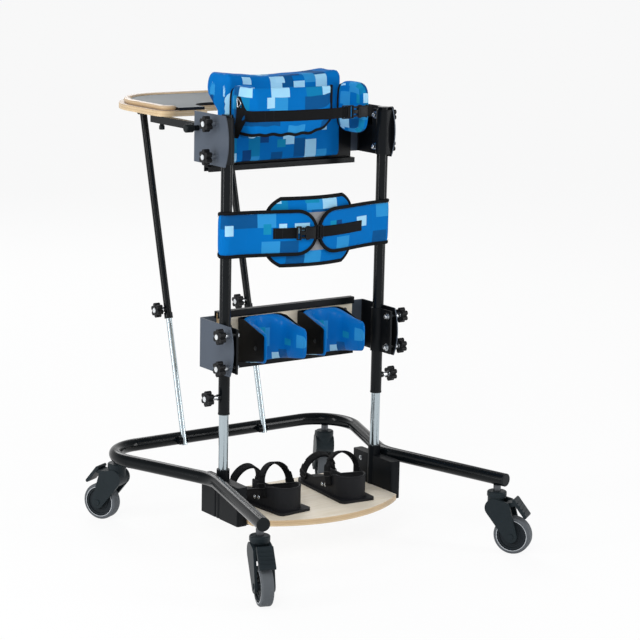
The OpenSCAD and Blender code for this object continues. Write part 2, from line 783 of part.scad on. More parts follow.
// Side outline of a knee cup, grown by more
module cup_side(more) {
    r = 16;
    drop = 24;
    rise = 20;
    low = knee_z - knee_cup_h/2 - more;
    high = knee_z + knee_cup_h/2 + more;
    tip = knee_back - knee_cup_deep - more;
    hull() {
        translate([tip + r, low + rise + r]) circle(r, $fn = 32);
        translate([tip + r, high - drop - r]) circle(r, $fn = 32);
        translate([knee_back - 2*r, high - r]) circle(r, $fn = 32);
        span2([knee_back - r, low], [knee_back, high]);
    }
}

module knee_pad_shells() color("#121316") both() translate([knee_cup_x, 0, 0]) {
    r = 12;
    half = knee_cup_w/2;
    short = 4;
    intersection() {
        translate([0, 0, knee_z - knee_cup_h]) linear_extrude(2*knee_cup_h) difference() {
            round_rect([-half, knee_back - knee_cup_deep - r], [half, knee_back], r);
            round_rect([-half + knee_shell_t, knee_back - 2*knee_cup_deep],
                [half - knee_shell_t, knee_back - knee_shell_t], r - knee_shell_t);
        }
        side_plate(-half, knee_cup_w) intersection() {
            cup_side(0);
            span2([knee_back - knee_cup_deep + short, 0], [knee_back, wide]);
        }
    }
}

module knee_pads() color("#0f6fbd") both() translate([knee_cup_x, 0, 0]) {
    gap = knee_shell_t + seat;
    half = knee_cup_w/2 - gap;
    back = knee_back - gap;
    room = half - knee_foam;
    r = 9;
    mouth = 5;
    flare = 11;
    flare_deep = 36;
    tip = knee_back - knee_cup_deep - mouth;
    intersection() {
        translate([0, 0, knee_z - knee_cup_h]) linear_extrude(2*knee_cup_h) difference() {
            round_rect([-half, tip], [half, back], r);
            translate([0, back - knee_foam - room]) circle(room);
            span2([-room, -wide], [room, back - knee_foam - room]);
            polygon([[-room, tip + flare_deep], [-room - flare, tip - over], [room + flare, tip - over],
                [room, tip + flare_deep]]);
        }
        side_plate(-half, 2*half) cup_side(mouth);
    }
}

// Pelvic support

belt_t = 6;
loop_r = outer_tube_d/2 + seat + belt_t/2;
pelvic_gap = 4;
loop_tail = 60;

function pelvic_y(x) = -loop_r - pelvic_bulge*pow(cos(90*min(x, upright_x)/upright_x), 2);
function pelvic_slope(x) = atan(pelvic_bulge*sin(180*x/upright_x)*PI/(2*upright_x));
belt_steps = 14;
pelvic_path = concat(
    [for (i = [0:belt_steps]) let (x = pelvic_gap + (upright_x - pelvic_gap)*i/belt_steps)
        [x, pelvic_y(x)]],
    [for (i = [1:10]) [upright_x, 0] + loop_r*[cos(-90 + 180*i/10), sin(-90 + 180*i/10)]],
    [[upright_x - loop_tail, loop_r]]);

module pelvic_belt() color("#0f6fbd") both() intersection() {
    translate([0, 0, pelvic_z - pelvic_belt_h/2]) linear_extrude(pelvic_belt_h)
        polygon(ribbon(pelvic_path, belt_t));
    face_plate(wide, 2*wide) {
        r = pelvic_belt_h/2;
        span2([pelvic_gap + r, pelvic_z - r], [wide, pelvic_z + r]);
        translate([pelvic_gap + r, pelvic_z]) circle(r);
    }
}

pad_t = 22;
pad_edge_t = 8;

pelvic_pad_taper = 40;

function pelvic_pad_half(v) = pelvic_pad_x - pelvic_pad_taper*pow(abs(v), 4);
function pelvic_pad_point(u, v, way) =
    let (x = pelvic_pad_half(v)*u,
        crown = (pad_edge_t + (pad_t - pad_edge_t)*(1 - pow(u, 4))*(1 - pow(v, 4)))/2,
        gap = belt_t/2 + seat + pad_t/2)
    [x, pelvic_y(abs(x)) + gap + way*crown, pelvic_z + v*pelvic_pad_h/2];

module pelvic_pad() color("#1a78c4") {
    nu = 18;
    nv = 12;
    grid_solid([for (i = [0:nu]) [for (j = [0:nv]) pelvic_pad_point(2*i/nu - 1, 2*j/nv - 1, -1)]],
        [for (i = [0:nu]) [for (j = [0:nv]) pelvic_pad_point(2*i/nu - 1, 2*j/nv - 1, 1)]]);
}

web_t = 1.8;

module buckle(w, h, t) {
    r = 3;
    slot_w = 4;
    translate([0, 0, -h/2]) linear_extrude(h) difference() {
        round_rect([-w/2, -t/2], [w/2, t/2], r);
        for (s = [-1, 1]) translate([s*(w/2 - slot_w), 0]) square([slot_w/2, t/2], center = true);
    }
}

module pelvic_strap() color("#111214") {
    buckle_x = -48;
    buckle_w = 54;
    buckle_h = 38;
    buckle_t = 13;
    lock_w = 20;
    lock_x = -6;
    off = belt_t/2 + seat + web_t/2;
    left_end = -130;
    right_end = 152;
    steps = 12;
    from_right = lock_x + lock_w/2;
    from_left = buckle_x - buckle_w/2;
    right = [for (i = [0:steps]) let (x = from_right + (right_end - from_right)*i/steps)
        [x, pelvic_y(x) - off]];
    left = [for (i = [0:steps]) let (x = left_end + (from_left - left_end)*i/steps)
        [x, pelvic_y(-x) - off]];
    for (p = [right, left]) translate([0, 0, pelvic_z - webbing_h/2]) linear_extrude(webbing_h)
        polygon(ribbon(p, web_t));
    translate([buckle_x, pelvic_y(-buckle_x), pelvic_z]) rotate([0, 0, pelvic_slope(buckle_x)])
        translate([0, -belt_t/2 - seat - buckle_t/2, 0]) buckle(buckle_w, buckle_h, buckle_t);
    translate([lock_x, pelvic_y(lock_x) - belt_t/2 - seat - buckle_t/4, pelvic_z])
        buckle(lock_w, buckle_h, buckle_t/2);
}

// Chest support

shelf_drop = 19;
shelf_low = chest_pad_low - shelf_drop;
chest_flange = chest_board_y + plate;
chest_board_up = 71;
chest_board_top = chest_z + chest_board_up;

module chest_brackets() color("#4a4d54") both() difference() {
    clamp_bracket(chest_z, chest_bracket_rear, chest_flange, chest_pad_x + 2*plate,
        tray_z - rail_side - plate, chest_bolt_y);
    translate([plate_in - over, plunger_y, plunger_z]) rotate([0, 90, 0])
        cylinder(d = plunger_pin_d + 2*slip, h = plate + 2*over);
}

module chest_clamp_jaws() color("#33353a") both() clamp_jaw(chest_z, 1, chest_bolt_y);

module chest_board() color("#1c1d21") {
    shelf_t = 3;
    shelf_set = 8;
    shelf_rear = chest_pad_rear + shelf_set;
    lip_h = 14;
    back = chest_board_y - chest_board_t;
    narrow_in = 10;
    narrow = chest_pad_x - narrow_in;
    side_plate(-chest_board_x, 2*chest_board_x) {
        span2([back, shelf_low], [chest_board_y, tray_z - rail_side - plate]);
        span2([shelf_rear, shelf_low + lip_h - shelf_t], [chest_board_y, shelf_low + lip_h]);
        span2([shelf_rear, shelf_low], [shelf_rear + shelf_t, shelf_low + lip_h]);
    }
    side_plate(-narrow, 2*narrow) span2([back, shelf_low], [chest_board_y, chest_board_top]);
}

roll_past = 39;
roll_front = chest_pad_front + roll_past;
roll_h = 62;
roll_low = chest_pad_top - roll_h;
pad_crown = 7;
crown_shares = [0.8, 0.6, 0.4, 0.2];

// Section of the chest pad at a station, drawn in by inset, dipped by dip
function pad_section(x, inset, dip) =
    let (rear = chest_pad_rear + inset, front = chest_pad_front - inset, low = chest_pad_low + inset,
        top = chest_pad_top - inset - dip, r = 22, roll_r = (top - roll_low - inset)/2,
        crown = pad_crown*(1 - pow(x/chest_pad_x, 2)), mid_z = (low + top)/2,
        slot_in = chest_board_y - chest_board_t - seat, slot_out = chest_board_y + seat,
        slot_top = chest_board_top + seat)
    concat(
        [[slot_in, low], [slot_in, slot_top], [slot_out, slot_top], [slot_out, low]],
        arc_points([front - r/2, low + r/2], r/2, -90, 0, 4),
        [[front, (low + roll_low)/2]],
        [[front, roll_low + inset]],
        arc_points([roll_front - inset - roll_r, top - roll_r], roll_r, -90, 90, 8),
        [[(front + rear)/2, top + inset/8]],
        arc_points([rear + r, top - r], r, 90, 180, 5),
        [for (t = crown_shares) [rear - crown*4*t*(1 - t), low + r/2 + (top - r - low - r/2)*t]],
        arc_points([rear + r/2, low + r/2], r/2, 180, 270, 4));

module chest_pad() color("#1272c0") {
    half_shares = [0, 0.25, 0.5, 0.75, 0.9, 0.955, 0.985, 1];
    last = len(half_shares) - 1;
    stations = concat([for (i = [last:-1:1]) -half_shares[i]], half_shares);
    round_share = 0.1;
    round_in = 10;
    dip = 10;
    ring_solid([for (s = stations) let (x = s*chest_pad_x, a = max(0, (abs(s) - 1 + round_share)/round_share),
        inset = round_in*(1 - sqrt(max(0, 1 - a*a))))
        [for (p = pad_section(x, inset, dip*(1 - s*s))) [x, p[0], p[1]]]]);
}

lateral_edge_t = 16;
lateral_corner = 16;
lateral_front = chest_pad_rear - pad_crown - seat;
lateral_long = lateral_front + lateral_rear;

function lateral_point(u, v, way) =
    let (full = sqrt((1 - pow(u, 6))*(1 - pow(v, 6))),
        grow = (lateral_edge_t + (lateral_t - lateral_edge_t)*full)/2,
        end = u < 0 ? 1 : 0,
        pull_y = 1 - end*lateral_corner/lateral_long*pow(v, 6),
        pull_z = 1 - end*2*lateral_corner/lateral_high*pow(u, 6))
    [lateral_x - lateral_t/2 + way*grow, (lateral_front - lateral_rear)/2 + u*pull_y*lateral_long/2,
        (lateral_low + lateral_top)/2 + v*pull_z*lateral_high/2];

module chest_lateral_pads() color("#1272c0") both() {
    nu = 12;
    nv = 10;
    grid_solid([for (i = [0:nu]) [for (j = [0:nv]) lateral_point(2*i/nu - 1, 2*j/nv - 1, 1)]],
        [for (i = [0:nu]) [for (j = [0:nv]) lateral_point(2*i/nu - 1, 2*j/nv - 1, -1)]]);
}

flap_t = 11;
flap_edge_t = 4;
flap_past = 2;
flap_h = 124;
flap_top = lateral_top + flap_past;
flap_low = flap_top - flap_h;
flap_start = 52;
flap_end = 40;
flap_turn_r = 16;
flap_bulge = 16;
flap_side = lateral_x + seat + flap_t/2;
flap_rear = -lateral_rear - seat - flap_t/2;
flap_steps = 14;
flap_path = concat(
    [for (i = [0:4]) [-flap_side, flap_start + (flap_rear + flap_turn_r - flap_start)*i/4]],
    [for (i = [1:6]) [-flap_side + flap_turn_r, flap_rear + flap_turn_r]
        + flap_turn_r*[cos(180 + 90*i/6), sin(180 + 90*i/6)]],
    [for (i = [1:flap_steps])
        let (t = i/flap_steps, x = -flap_side + flap_turn_r + (flap_side - flap_turn_r + flap_end)*t)
        [x, flap_rear - flap_bulge*smooth(min(1, t*2))]]);

flap_last = len(flap_path) - 1;
flap_rise = 34;
flap_corner = 10;

function flap_point(i, v, way) =
    let (u = 2*i/flap_last - 1,
        t = (flap_edge_t + (flap_t - flap_edge_t)*(1 - pow(u, 8))*(1 - pow(v, 4)))/2,
        low = flap_low + flap_rise*pow(max(0, u), 5) + flap_corner*pow(max(0, -u), 10),
        p = flap_path[i] - way*path_normal(flap_path, i)*t)
    [p[0], p[1], low + (flap_top - low)*(v + 1)/2];

module chest_belt() color("#1272c0") {
    nv = 8;
    grid_solid([for (i = [0:flap_last]) [for (j = [0:nv]) flap_point(i, 2*j/nv - 1, 1)]],
        [for (i = [0:flap_last]) [for (j = [0:nv]) flap_point(i, 2*j/nv - 1, -1)]]);
}

module chest_strap() color("#111214") {
    web_drop = 73;
    web_z = lateral_top - web_drop;
    buckle_w = 58;
    buckle_h = 36;
    buckle_t = 13;
    lock_w = 22;
    buckle_x = 136;
    lock_x = buckle_x - buckle_w/2 - lock_w/2 - pass;
    line_y = -lateral_rear - buckle_t/2 - 3*pass;
    off = flap_t/2 + seat + web_t/2;
    first = 4;
    out = moved([for (i = [first:len(flap_path) - 1]) flap_path[i]], -off);
    left = concat(out, [[lock_x - lock_w/2, line_y - plate]]);
    side = lateral_x + seat + web_t/2;
    turn = 12;
    back = -lateral_rear - pass - web_t/2;
    right = concat([[buckle_x + buckle_w/2, line_y]], [for (i = [0:6]) [side - turn, back + turn]
        + turn*[cos(-90 + 90*i/6), sin(-90 + 90*i/6)]], [[side, flap_start]]);
    for (p = [left, right]) translate([0, 0, web_z - webbing_h/2]) linear_extrude(webbing_h)
        polygon(ribbon(p, web_t));
    translate([buckle_x, line_y, web_z]) buckle(buckle_w, buckle_h, buckle_t);
    translate([lock_x, line_y, web_z]) buckle(lock_w, buckle_h, buckle_t/2);
}

// Tray

module tray_outline(in) {
    w = tray_x - in;
    low = tray_rear + in;
    high = tray_front - in;
    r = tray_corner - in;
    rear_r = tray_rear_corner - in;
    span2([-w + rear_r, low], [w - rear_r, high - r]);
    span2([-w, low + rear_r], [w, high - r]);
    span2([-w + r, high - r - over], [w - r, high]);
    for (s = [-1, 1]) {
        translate([s*(w - rear_r), low + rear_r]) circle(rear_r);
        translate([s*(w - r), high - r]) circle(r);
    }
}

cut_half = 134;
cut_deep = 88;
cut_r = 60;

module tray_cut(more) {
    round_rect([-cut_half - more, tray_rear - cut_deep], [cut_half + more, tray_rear + cut_deep + more],
        cut_r + more);
    span2([-cut_half - more, tray_rear - cut_deep], [cut_half + more, tray_rear]);
}

module tray_board() color("#d8c39c") {
    margin = 4;
    ledge = 1;
    rear_half = tray_x - rim_set - rim_w - tray_rear_corner/2 - pass;
    rear_deep = 60;
    translate([0, 0, tray_z]) linear_extrude(tray_t) difference() {
        tray_outline(0);
        tray_cut(0);
    }
    translate([0, 0, tray_z + tray_t - over]) linear_extrude(mat_t + over) difference() {
        union() {
            tray_outline(rim_set + rim_w + seat);
            span2([-rear_half, tray_rear + ledge], [rear_half, tray_rear + rear_deep]);
        }
        tray_cut(margin);
    }
}

module tray_rim() color("#e0cda8") {
    horn = 60;
    gap = 14;
    gap_turn = 42;
    translate([0, 0, tray_z + tray_t]) linear_extrude(rim_h) difference() {
        tray_outline(rim_set);
        tray_outline(rim_set + rim_w);
        span2([-tray_x + rim_set + rim_w + tray_rear_corner/2, tray_rear - over],
            [tray_x - rim_set - rim_w - tray_rear_corner/2, tray_rear + horn]);
        for (s = [-1, 1]) translate([s*(tray_x - tray_corner), tray_front - tray_corner])
            rotate(s > 0 ? gap_turn : 180 - gap_turn) span2([0, -gap/2], [tray_corner + over, gap/2]);
    }
}

rail_rear = 62;
rail_wall = 2;
rail_out = plate_in - seat;
rail_screw_gap = 43;
rail_screw_y = rail_front - rail_screw_gap;
rail_screw_d = 6;
plunger_y = 109;
plunger_z = tray_z - rail_side/2;
plunger_pin_d = 8;
plunger_sleeve_d = 14;
plunger_sleeve = 14;

module tray_rails() color("#1a1b1f") both() difference() {
    union() {
        span([rail_out - rail_side, rail_rear, tray_z - rail_side], [rail_out, rail_front, tray_z]);
        translate([plate_out + seat, plunger_y, plunger_z]) rotate([0, 90, 0])
            cylinder(d = plunger_sleeve_d, h = plunger_sleeve);
    }
    span([rail_out - rail_side + rail_wall, rail_rear - over, tray_z - rail_side + rail_wall],
        [rail_out - rail_wall, rail_front - rail_wall, tray_z - rail_wall]);
    translate([rail_out - rail_side/2, plunger_y, plunger_z]) rotate([0, 90, 0])
        cylinder(d = plunger_pin_d + 2*slip, h = rail_side + plunger_sleeve + plate + over);
    translate([rail_out - rail_side/2, rail_screw_y, tray_z - rail_side - over])
        cylinder(d = rail_screw_d + 2*slip, h = rail_wall + 2*over);
}

module rail_screws() color("#131417") both()
translate([rail_out - rail_side/2, rail_screw_y, tray_z - rail_side - seat]) {
    head_d = 15;
    head_h = 12;
    neck_d = 11;
    neck_h = 4;
    edge = 2;
    r = head_d/2;
    translate([0, 0, -neck_h]) cylinder(d = rail_screw_d, h = neck_h + rail_side - rail_wall);
    translate([0, 0, -neck_h]) cylinder(d = neck_d, h = neck_h);
    translate([0, 0, -neck_h]) mirror([0, 0, 1]) rotate_extrude() polygon(concat(
        [[0, 0], [r - edge, 0], [r, edge]],
        arc_points([r - edge, head_h - edge], edge, 0, 90, 4), [[0, head_h]]));
}

module tray_plunger(s) color("#131417") {
    grip_d = 22;
    grip_h = 26;
    edge = 4;
    r = grip_d/2;
    face = plate_out + seat + plunger_sleeve + seat;
    translate([0, plunger_y, plunger_z]) mirror([s > 0 ? 0 : 1, 0, 0]) rotate([0, 90, 0]) {
        translate([0, 0, rail_out - rail_wall])
            cylinder(d = plunger_pin_d, h = face - rail_out + rail_wall + over);
        translate([0, 0, face]) rotate_extrude() polygon(concat([[0, 0], [r - edge, 0], [r, edge]],
            arc_points([r - edge, grip_h - edge], edge, 0, 90, 5), [[0, grip_h]]));
    }
}

// Struts

strut_foot_y = front_y - base_tube_d/2 - strut_rod_d/2 - 2*pass;
strut_foot_z = base_z;
strut_rise = [strut_top_y - strut_foot_y, strut_top_z - strut_foot_z];
strut_len = norm(strut_rise);
strut_lean = atan(strut_rise[0]/strut_rise[1]);
strut_pin_d = 8;
strut_eye_gap = 3;
strut_overlap = 330;
strut_rod_to = strut_tube_from + strut_overlap;
lug_t = 5;

module at_strut(s) {
    translate([s*strut_x, strut_foot_y, strut_foot_z]) rotate([-strut_lean, 0, 0]) children();
}

module strut_foot_brackets() color("#1a1b1f") for (s = [-1, 1]) {
    lug_r = 11;
    pin_head = 4;
    x = s*strut_x - strut_rod_d/2 - pass - lug_t;
    difference() {
        side_plate(x, lug_t) {
            translate([strut_foot_y, strut_foot_z]) circle(lug_r);
            span2([strut_foot_y, strut_foot_z - lug_r], [front_y, strut_foot_z + lug_r]);
        }
        translate([x - over, front_y, base_z]) rotate([0, 90, 0])
            cylinder(d = base_tube_d + 2*slip, h = lug_t + 2*over);
    }
    translate([x - pin_head, strut_foot_y, strut_foot_z]) rotate([0, 90, 0]) {
        cylinder(d = strut_rod_d, h = pin_head);
        cylinder(d = strut_pin_d, h = 2*pin_head + lug_t + pass + strut_rod_d + pass);
        translate([0, 0, pin_head + lug_t + pass + strut_rod_d + pass])
            cylinder(d = strut_rod_d - pass, h = pin_head);
    }
}

module strut_rods() color("#dfe2e6") for (s = [-1, 1]) at_strut(s) difference() {
    below = 13;
    wall = 2.5;
    translate([0, 0, -below]) cylinder(d = strut_rod_d, h = strut_rod_to + below);
    translate([0, 0, below]) cylinder(d = strut_rod_d - 2*wall, h = strut_rod_to);
    translate([-strut_rod_d, 0, 0]) rotate([0, 90, 0]) cylinder(d = strut_pin_d + 2*slip, h = 2*strut_rod_d);
}

strut_clamp_up = 26;
strut_boss = 5;

module strut_tubes() color("#1a1b1f") for (s = [-1, 1]) at_strut(s) {
    collar = 16;
    collar_t = 2;
    eye_d = 24;
    eye_w = 18;
    boss_d = 14;
    stop = eye_d/2 + 2*plate;
    difference() {
        union() {
            translate([0, 0, strut_tube_from]) cylinder(d = strut_tube_d, h = strut_len - strut_tube_from);
            translate([0, 0, strut_tube_from]) cylinder(d = strut_tube_d + 2*collar_t, h = collar);
            translate([0, 0, strut_tube_from + strut_clamp_up]) rotate([0, -90, 0])
                cylinder(d = boss_d, h = strut_tube_d/2 + strut_boss);
            translate([-eye_w/2, 0, strut_len]) rotate([0, 90, 0]) cylinder(d = eye_d, h = eye_w);
        }
        translate([0, 0, strut_tube_from - over])
            cylinder(d = strut_rod_d + 2*slip, h = strut_len - strut_tube_from - stop + over);
        translate([0, 0, strut_tube_from + strut_clamp_up]) rotate([0, -90, 0])
            cylinder(d = stud_d + 2*slip, h = strut_tube_d);
        translate([-eye_w, 0, strut_len]) rotate([0, 90, 0])
            cylinder(d = strut_pin_d + 2*strut_eye_gap, h = 2*eye_w);
    }
}

module strut_top_brackets() color("#2d2f34") for (s = [-1, 1]) translate([s*strut_x, strut_top_y, 0]) {
    ear_in = 11;
    ear_t = 3;
    ear_r = 12;
    base_y = 15;
    base_x = 26;
    for (w = [-1, 1]) side_plate(w > 0 ? ear_in : -ear_in - ear_t, ear_t) {
        translate([0, strut_top_z]) circle(ear_r);
        span2([-ear_r, strut_top_z], [ear_r, tray_z]);
    }
    span([-base_x, -base_y, tray_z - ear_t], [base_x, base_y, tray_z]);
    translate([-ear_in - 2*ear_t, 0, strut_top_z]) rotate([0, 90, 0])
        cylinder(d = strut_pin_d, h = 2*ear_in + 4*ear_t);
}

// Star knobs

knob_lobes = 6;
knob_lobe_r = 6.4;
knob_dish = 2;

// Along +Z from its seat: sleeve, star, cap; the screw goes down from the seat
module star_knob(screw, sleeve) color("#16171a") {
    hub_d = 13;
    cap_d = 13;
    cap_h = 1.2;
    body_share = 0.68;
    translate([0, 0, -screw]) cylinder(d = stud_d, h = screw + over);
    cylinder(d = hub_d, h = sleeve + over);
    translate([0, 0, sleeve]) linear_extrude(knob_h) {
        circle(d = knob_d*body_share);
        for (i = [0:knob_lobes - 1]) rotate(360*i/knob_lobes)
            translate([knob_d/2 - knob_lobe_r, 0]) circle(knob_lobe_r);
    }
    translate([0, 0, sleeve + knob_h - over])
        cylinder(d1 = knob_d*body_share, d2 = cap_d + 2*knob_dish, h = knob_dish + over);
    translate([0, 0, sleeve + knob_h]) cylinder(d = cap_d, h = knob_dish + cap_h);
}

module at_out(s, x, y, z) {
    translate([s*x, y, z]) rotate([0, s*90, 0]) children();
}

upright_sleeve = 20;
bracket_sleeve = 18;
bracket_screw_past = 8;
strut_sleeve = 10;
upright_seat = upright_x + outer_tube_d/2 + upright_boss;

module upright_knob(s) at_out(s, upright_seat + seat, 0, height_clamp_z)
    star_knob(upright_seat + seat - upright_x - inner_tube_d/2 - seat, upright_sleeve);

module bracket_knob(s, y, z) at_out(s, plate_out + seat, y, z)
    star_knob(plate_out + seat - upright_x + plate + bracket_screw_past, bracket_sleeve);

module strut_knob(s) at_strut(s)
    translate([-strut_tube_d/2 - strut_boss - seat, 0, strut_tube_from + strut_clamp_up]) rotate([0, -90, 0])
    star_knob(strut_tube_d/2 + strut_boss + seat - strut_rod_d/2 - seat, strut_sleeve);

sides = [["left", -1], ["right", 1]];
levels = [["upper", 1], ["lower", -1]];

module placed() {
    translate([0, frame_shift, 0]) children();
}

placed() base_frame();
placed() frame_end_caps();
placed() caster_stems();
placed() footplate_hangers();
placed() upright_inner_tubes();
placed() footplate();
placed() sandals();
placed() sandal_straps();
placed() strut_foot_brackets();
placed() upright_outer_tubes();
placed() upright_guide_bushes();
placed() chest_brackets();
placed() chest_clamp_jaws();
placed() chest_board();
placed() chest_pad();
placed() chest_lateral_pads();
placed() chest_belt();
placed() chest_strap();
placed() tray_board();
placed() tray_rim();
placed() tray_rails();
placed() rail_screws();
placed() strut_top_brackets();
placed() knee_brackets();
placed() knee_clamp_jaws();
placed() knee_board();
placed() knee_board_profiles();
placed() knee_pad_shells();
placed() knee_pads();
placed() pelvic_belt();
placed() pelvic_pad();
placed() pelvic_strap();
placed() strut_rods();
placed() strut_tubes();
for (c = castors) {
    placed() caster_fork(c);
    placed() caster_wheel(c);
    placed() brake_pedal(c);
}
for (s = sides) {
    placed() upright_knob(s[1]);
    placed() strut_knob(s[1]);
    placed() tray_plunger(s[1]);
    for (l = levels) {
        placed() bracket_knob(s[1], chest_bolt_y, chest_z + l[1]*bolt_step);
        placed() bracket_knob(s[1], knee_bolt_y, knee_z + l[1]*bolt_step);
    }
}
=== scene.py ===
import json
from math import atan2, cos, pi, radians, sin, sqrt
import bmesh
import bpy
from mathutils import Matrix, Vector


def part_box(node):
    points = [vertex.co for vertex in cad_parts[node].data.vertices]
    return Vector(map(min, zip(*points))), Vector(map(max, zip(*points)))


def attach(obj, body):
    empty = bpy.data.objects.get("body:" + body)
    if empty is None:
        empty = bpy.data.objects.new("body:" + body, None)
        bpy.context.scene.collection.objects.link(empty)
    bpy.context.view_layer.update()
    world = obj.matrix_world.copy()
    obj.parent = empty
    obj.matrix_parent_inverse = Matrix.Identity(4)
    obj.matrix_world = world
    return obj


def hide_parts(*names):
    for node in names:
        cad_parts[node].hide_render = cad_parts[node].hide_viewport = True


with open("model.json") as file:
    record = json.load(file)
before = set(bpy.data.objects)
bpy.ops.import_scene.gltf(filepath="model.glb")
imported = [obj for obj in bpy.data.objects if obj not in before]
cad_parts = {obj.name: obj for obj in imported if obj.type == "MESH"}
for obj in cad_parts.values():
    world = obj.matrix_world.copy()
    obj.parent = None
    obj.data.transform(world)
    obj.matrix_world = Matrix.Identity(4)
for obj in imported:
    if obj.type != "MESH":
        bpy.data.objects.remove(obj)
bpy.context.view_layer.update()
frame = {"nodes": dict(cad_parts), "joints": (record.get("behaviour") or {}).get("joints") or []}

scene = bpy.context.scene
standY = 500 * sum(corner[1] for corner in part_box("upright_inner_tubes"))  # uprights behind the middle, mm
joints = {joint["name"]: joint for joint in frame["joints"]}
sides = ((-1, "left"), (1, "right"))
print("frame:", len(frame["nodes"]), "solids")


# camera, at the place a perspective fit to the picture gave

viewpoint = {"spot": (-3099.3, -4444.9, 1704.2), "yaw": 0.617, "pitch": -0.202, "roll": 0.022, "lens": 118.1}


def spot(x, y, z):  # mm from the uprights' foot to metres in the shared frame
    return Vector((x, y + standY, z)) * 0.001


def setCamera(v):
    look = Vector((sin(v["yaw"]) * cos(v["pitch"]), cos(v["yaw"]) * cos(v["pitch"]), sin(v["pitch"])))
    level = Vector((cos(v["yaw"]), -sin(v["yaw"]), 0))
    rise = level.cross(look)
    right = level * cos(v["roll"]) + rise * sin(v["roll"])
    up = rise * cos(v["roll"]) - level * sin(v["roll"])
    data = bpy.data.cameras.new("viewpoint")
    data.lens = v["lens"]
    data.sensor_width = 36
    data.sensor_fit = "HORIZONTAL"
    data.clip_end = 120
    camera = bpy.data.objects.new("viewpoint", data)
    turn = Matrix((right, up, -look)).transposed().to_4x4()
    camera.matrix_world = Matrix.Translation(spot(*v["spot"])) @ turn
    scene.collection.objects.link(camera)
    scene.camera = camera


setCamera(viewpoint)


# shader maths in Python expressions

def maths(operation, swapped=False):
    def method(self, *other):
        values = other + (self,) if swapped else (self,) + other
        return self.calc(operation, *values)

    return method


class Wire:
    def __init__(self, tree, sock):
        self.tree = tree
        self.sock = sock

    def calc(self, operation, *values):
        node = self.tree.nodes.new("ShaderNodeMath")
        node.operation = operation
        for sock, value in zip(node.inputs, values):
            plug(self.tree, sock, value)
        return Wire(self.tree, node.outputs[0])

    __add__ = maths("ADD")
    __radd__ = maths("ADD", True)
    __sub__ = maths("SUBTRACT")
    __rsub__ = maths("SUBTRACT", True)
    __mul__ = maths("MULTIPLY")
    __rmul__ = maths("MULTIPLY", True)
    __truediv__ = maths("DIVIDE")
    __gt__ = maths("GREATER_THAN")
    __lt__ = maths("LESS_THAN")
    floor = maths("FLOOR")
    fract = maths("FRACT")
    abs = maths("ABSOLUTE")
    sin = maths("SINE")
    root = maths("SQRT")
    atLeast = maths("MAXIMUM")
    atMost = maths("MINIMUM")


def plug(tree, sock, value):  # a plain value, a wire, a socket or a list of sockets
    for item in value if isinstance(value, list) else [value]:
        if isinstance(item, Wire):
            item = item.sock
        if isinstance(item, bpy.types.NodeSocket):
            tree.links.new(item, sock)
        else:
            sock.default_value = item


def addNode(tree, kind, settings=None, **values):
    node = tree.nodes.new(kind)
    for key, value in (settings or {}).items():
        setattr(node, key, value)
    for key, value in values.items():
        socks = [s for s in node.inputs if s.enabled and key in (s.identifier, s.name.replace(" ", ""))]
        plug(tree, socks[0], value)
    return node


class Finish:
    def __init__(self, name, **plain):
        self.mat = bpy.data.materials.new(name)
        self.mat.use_nodes = True
        self.tree = self.mat.node_tree
        self.shader = self.tree.nodes["Principled BSDF"]
        self.into(**plain)

    def into(self, **values):
        for key, value in values.items():
            plug(self.tree, self.shader.inputs[key.replace("_", " ")], value)

    def fed(self, key):  # what feeds an input of the shader so far
        return Wire(self.tree, self.shader.inputs[key].links[0].from_socket)

    def node(self, kind, settings=None, out=0, **values):
        return Wire(self.tree, addNode(self.tree, "ShaderNode" + kind, settings, **values).outputs[out])

    def axes(self, place):
        split = addNode(self.tree, "ShaderNodeSeparateXYZ", Vector=place)
        return [Wire(self.tree, out) for out in split.outputs]

    def facing(self, axis):
        return self.axes(self.node("NewGeometry", None, 1))[axis]

    def place(self):
        return self.node("TexCoord", None, 3)

    def cloth(self):
        return self.node("TexCoord", None, 2)

    def stretch(self, place, scale):
        return self.node("Mapping", None, Vector=place, Scale=scale)

    def noise(self, place, scale, detail, rough=0.5):
        return self.node("TexNoise", None, Vector=place, Scale=scale, Detail=detail, Roughness=rough)

    def cells(self, size, **values):
        return self.node("TexWhiteNoise", {"noise_dimensions": size}, **values)

    def ramp(self, amount, stops, stepped=False):  # colour codes along a ramp
        node = addNode(self.tree, "ShaderNodeValToRGB", Fac=amount)
        node.color_ramp.interpolation = "CONSTANT" if stepped else "LINEAR"
        marks = node.color_ramp.elements
        while len(marks) < len(stops):
            marks.new(1)
        for mark, (where, code) in zip(marks, stops):
            mark.position = where
            mark.color = tone(code)
        return Wire(self.tree, node.outputs[0])

    def blend(self, amount, one, two):
        return self.node("Mix", {"data_type": "RGBA"}, 2, Factor_Float=amount, A_Color=one, B_Color=two)

    def bump(self, height, deep, strength):
        self.into(Normal=self.node("Bump", None, Strength=strength, Distance=deep, Height=height))


def tone(code):  # picture colour to the shader's linear one
    parts = [int(code[i:i + 2], 16) / 255 for i in (0, 2, 4)]
    return tuple(c / 12.92 if c < 0.04045 else ((c + 0.055) / 1.055) ** 2.4 for c in parts) + (1.0,)


def lighter(colour, gain, lift):
    return tuple(min(1, c * gain + lift) for c in colour[:3]) + (1.0,)


# finishes

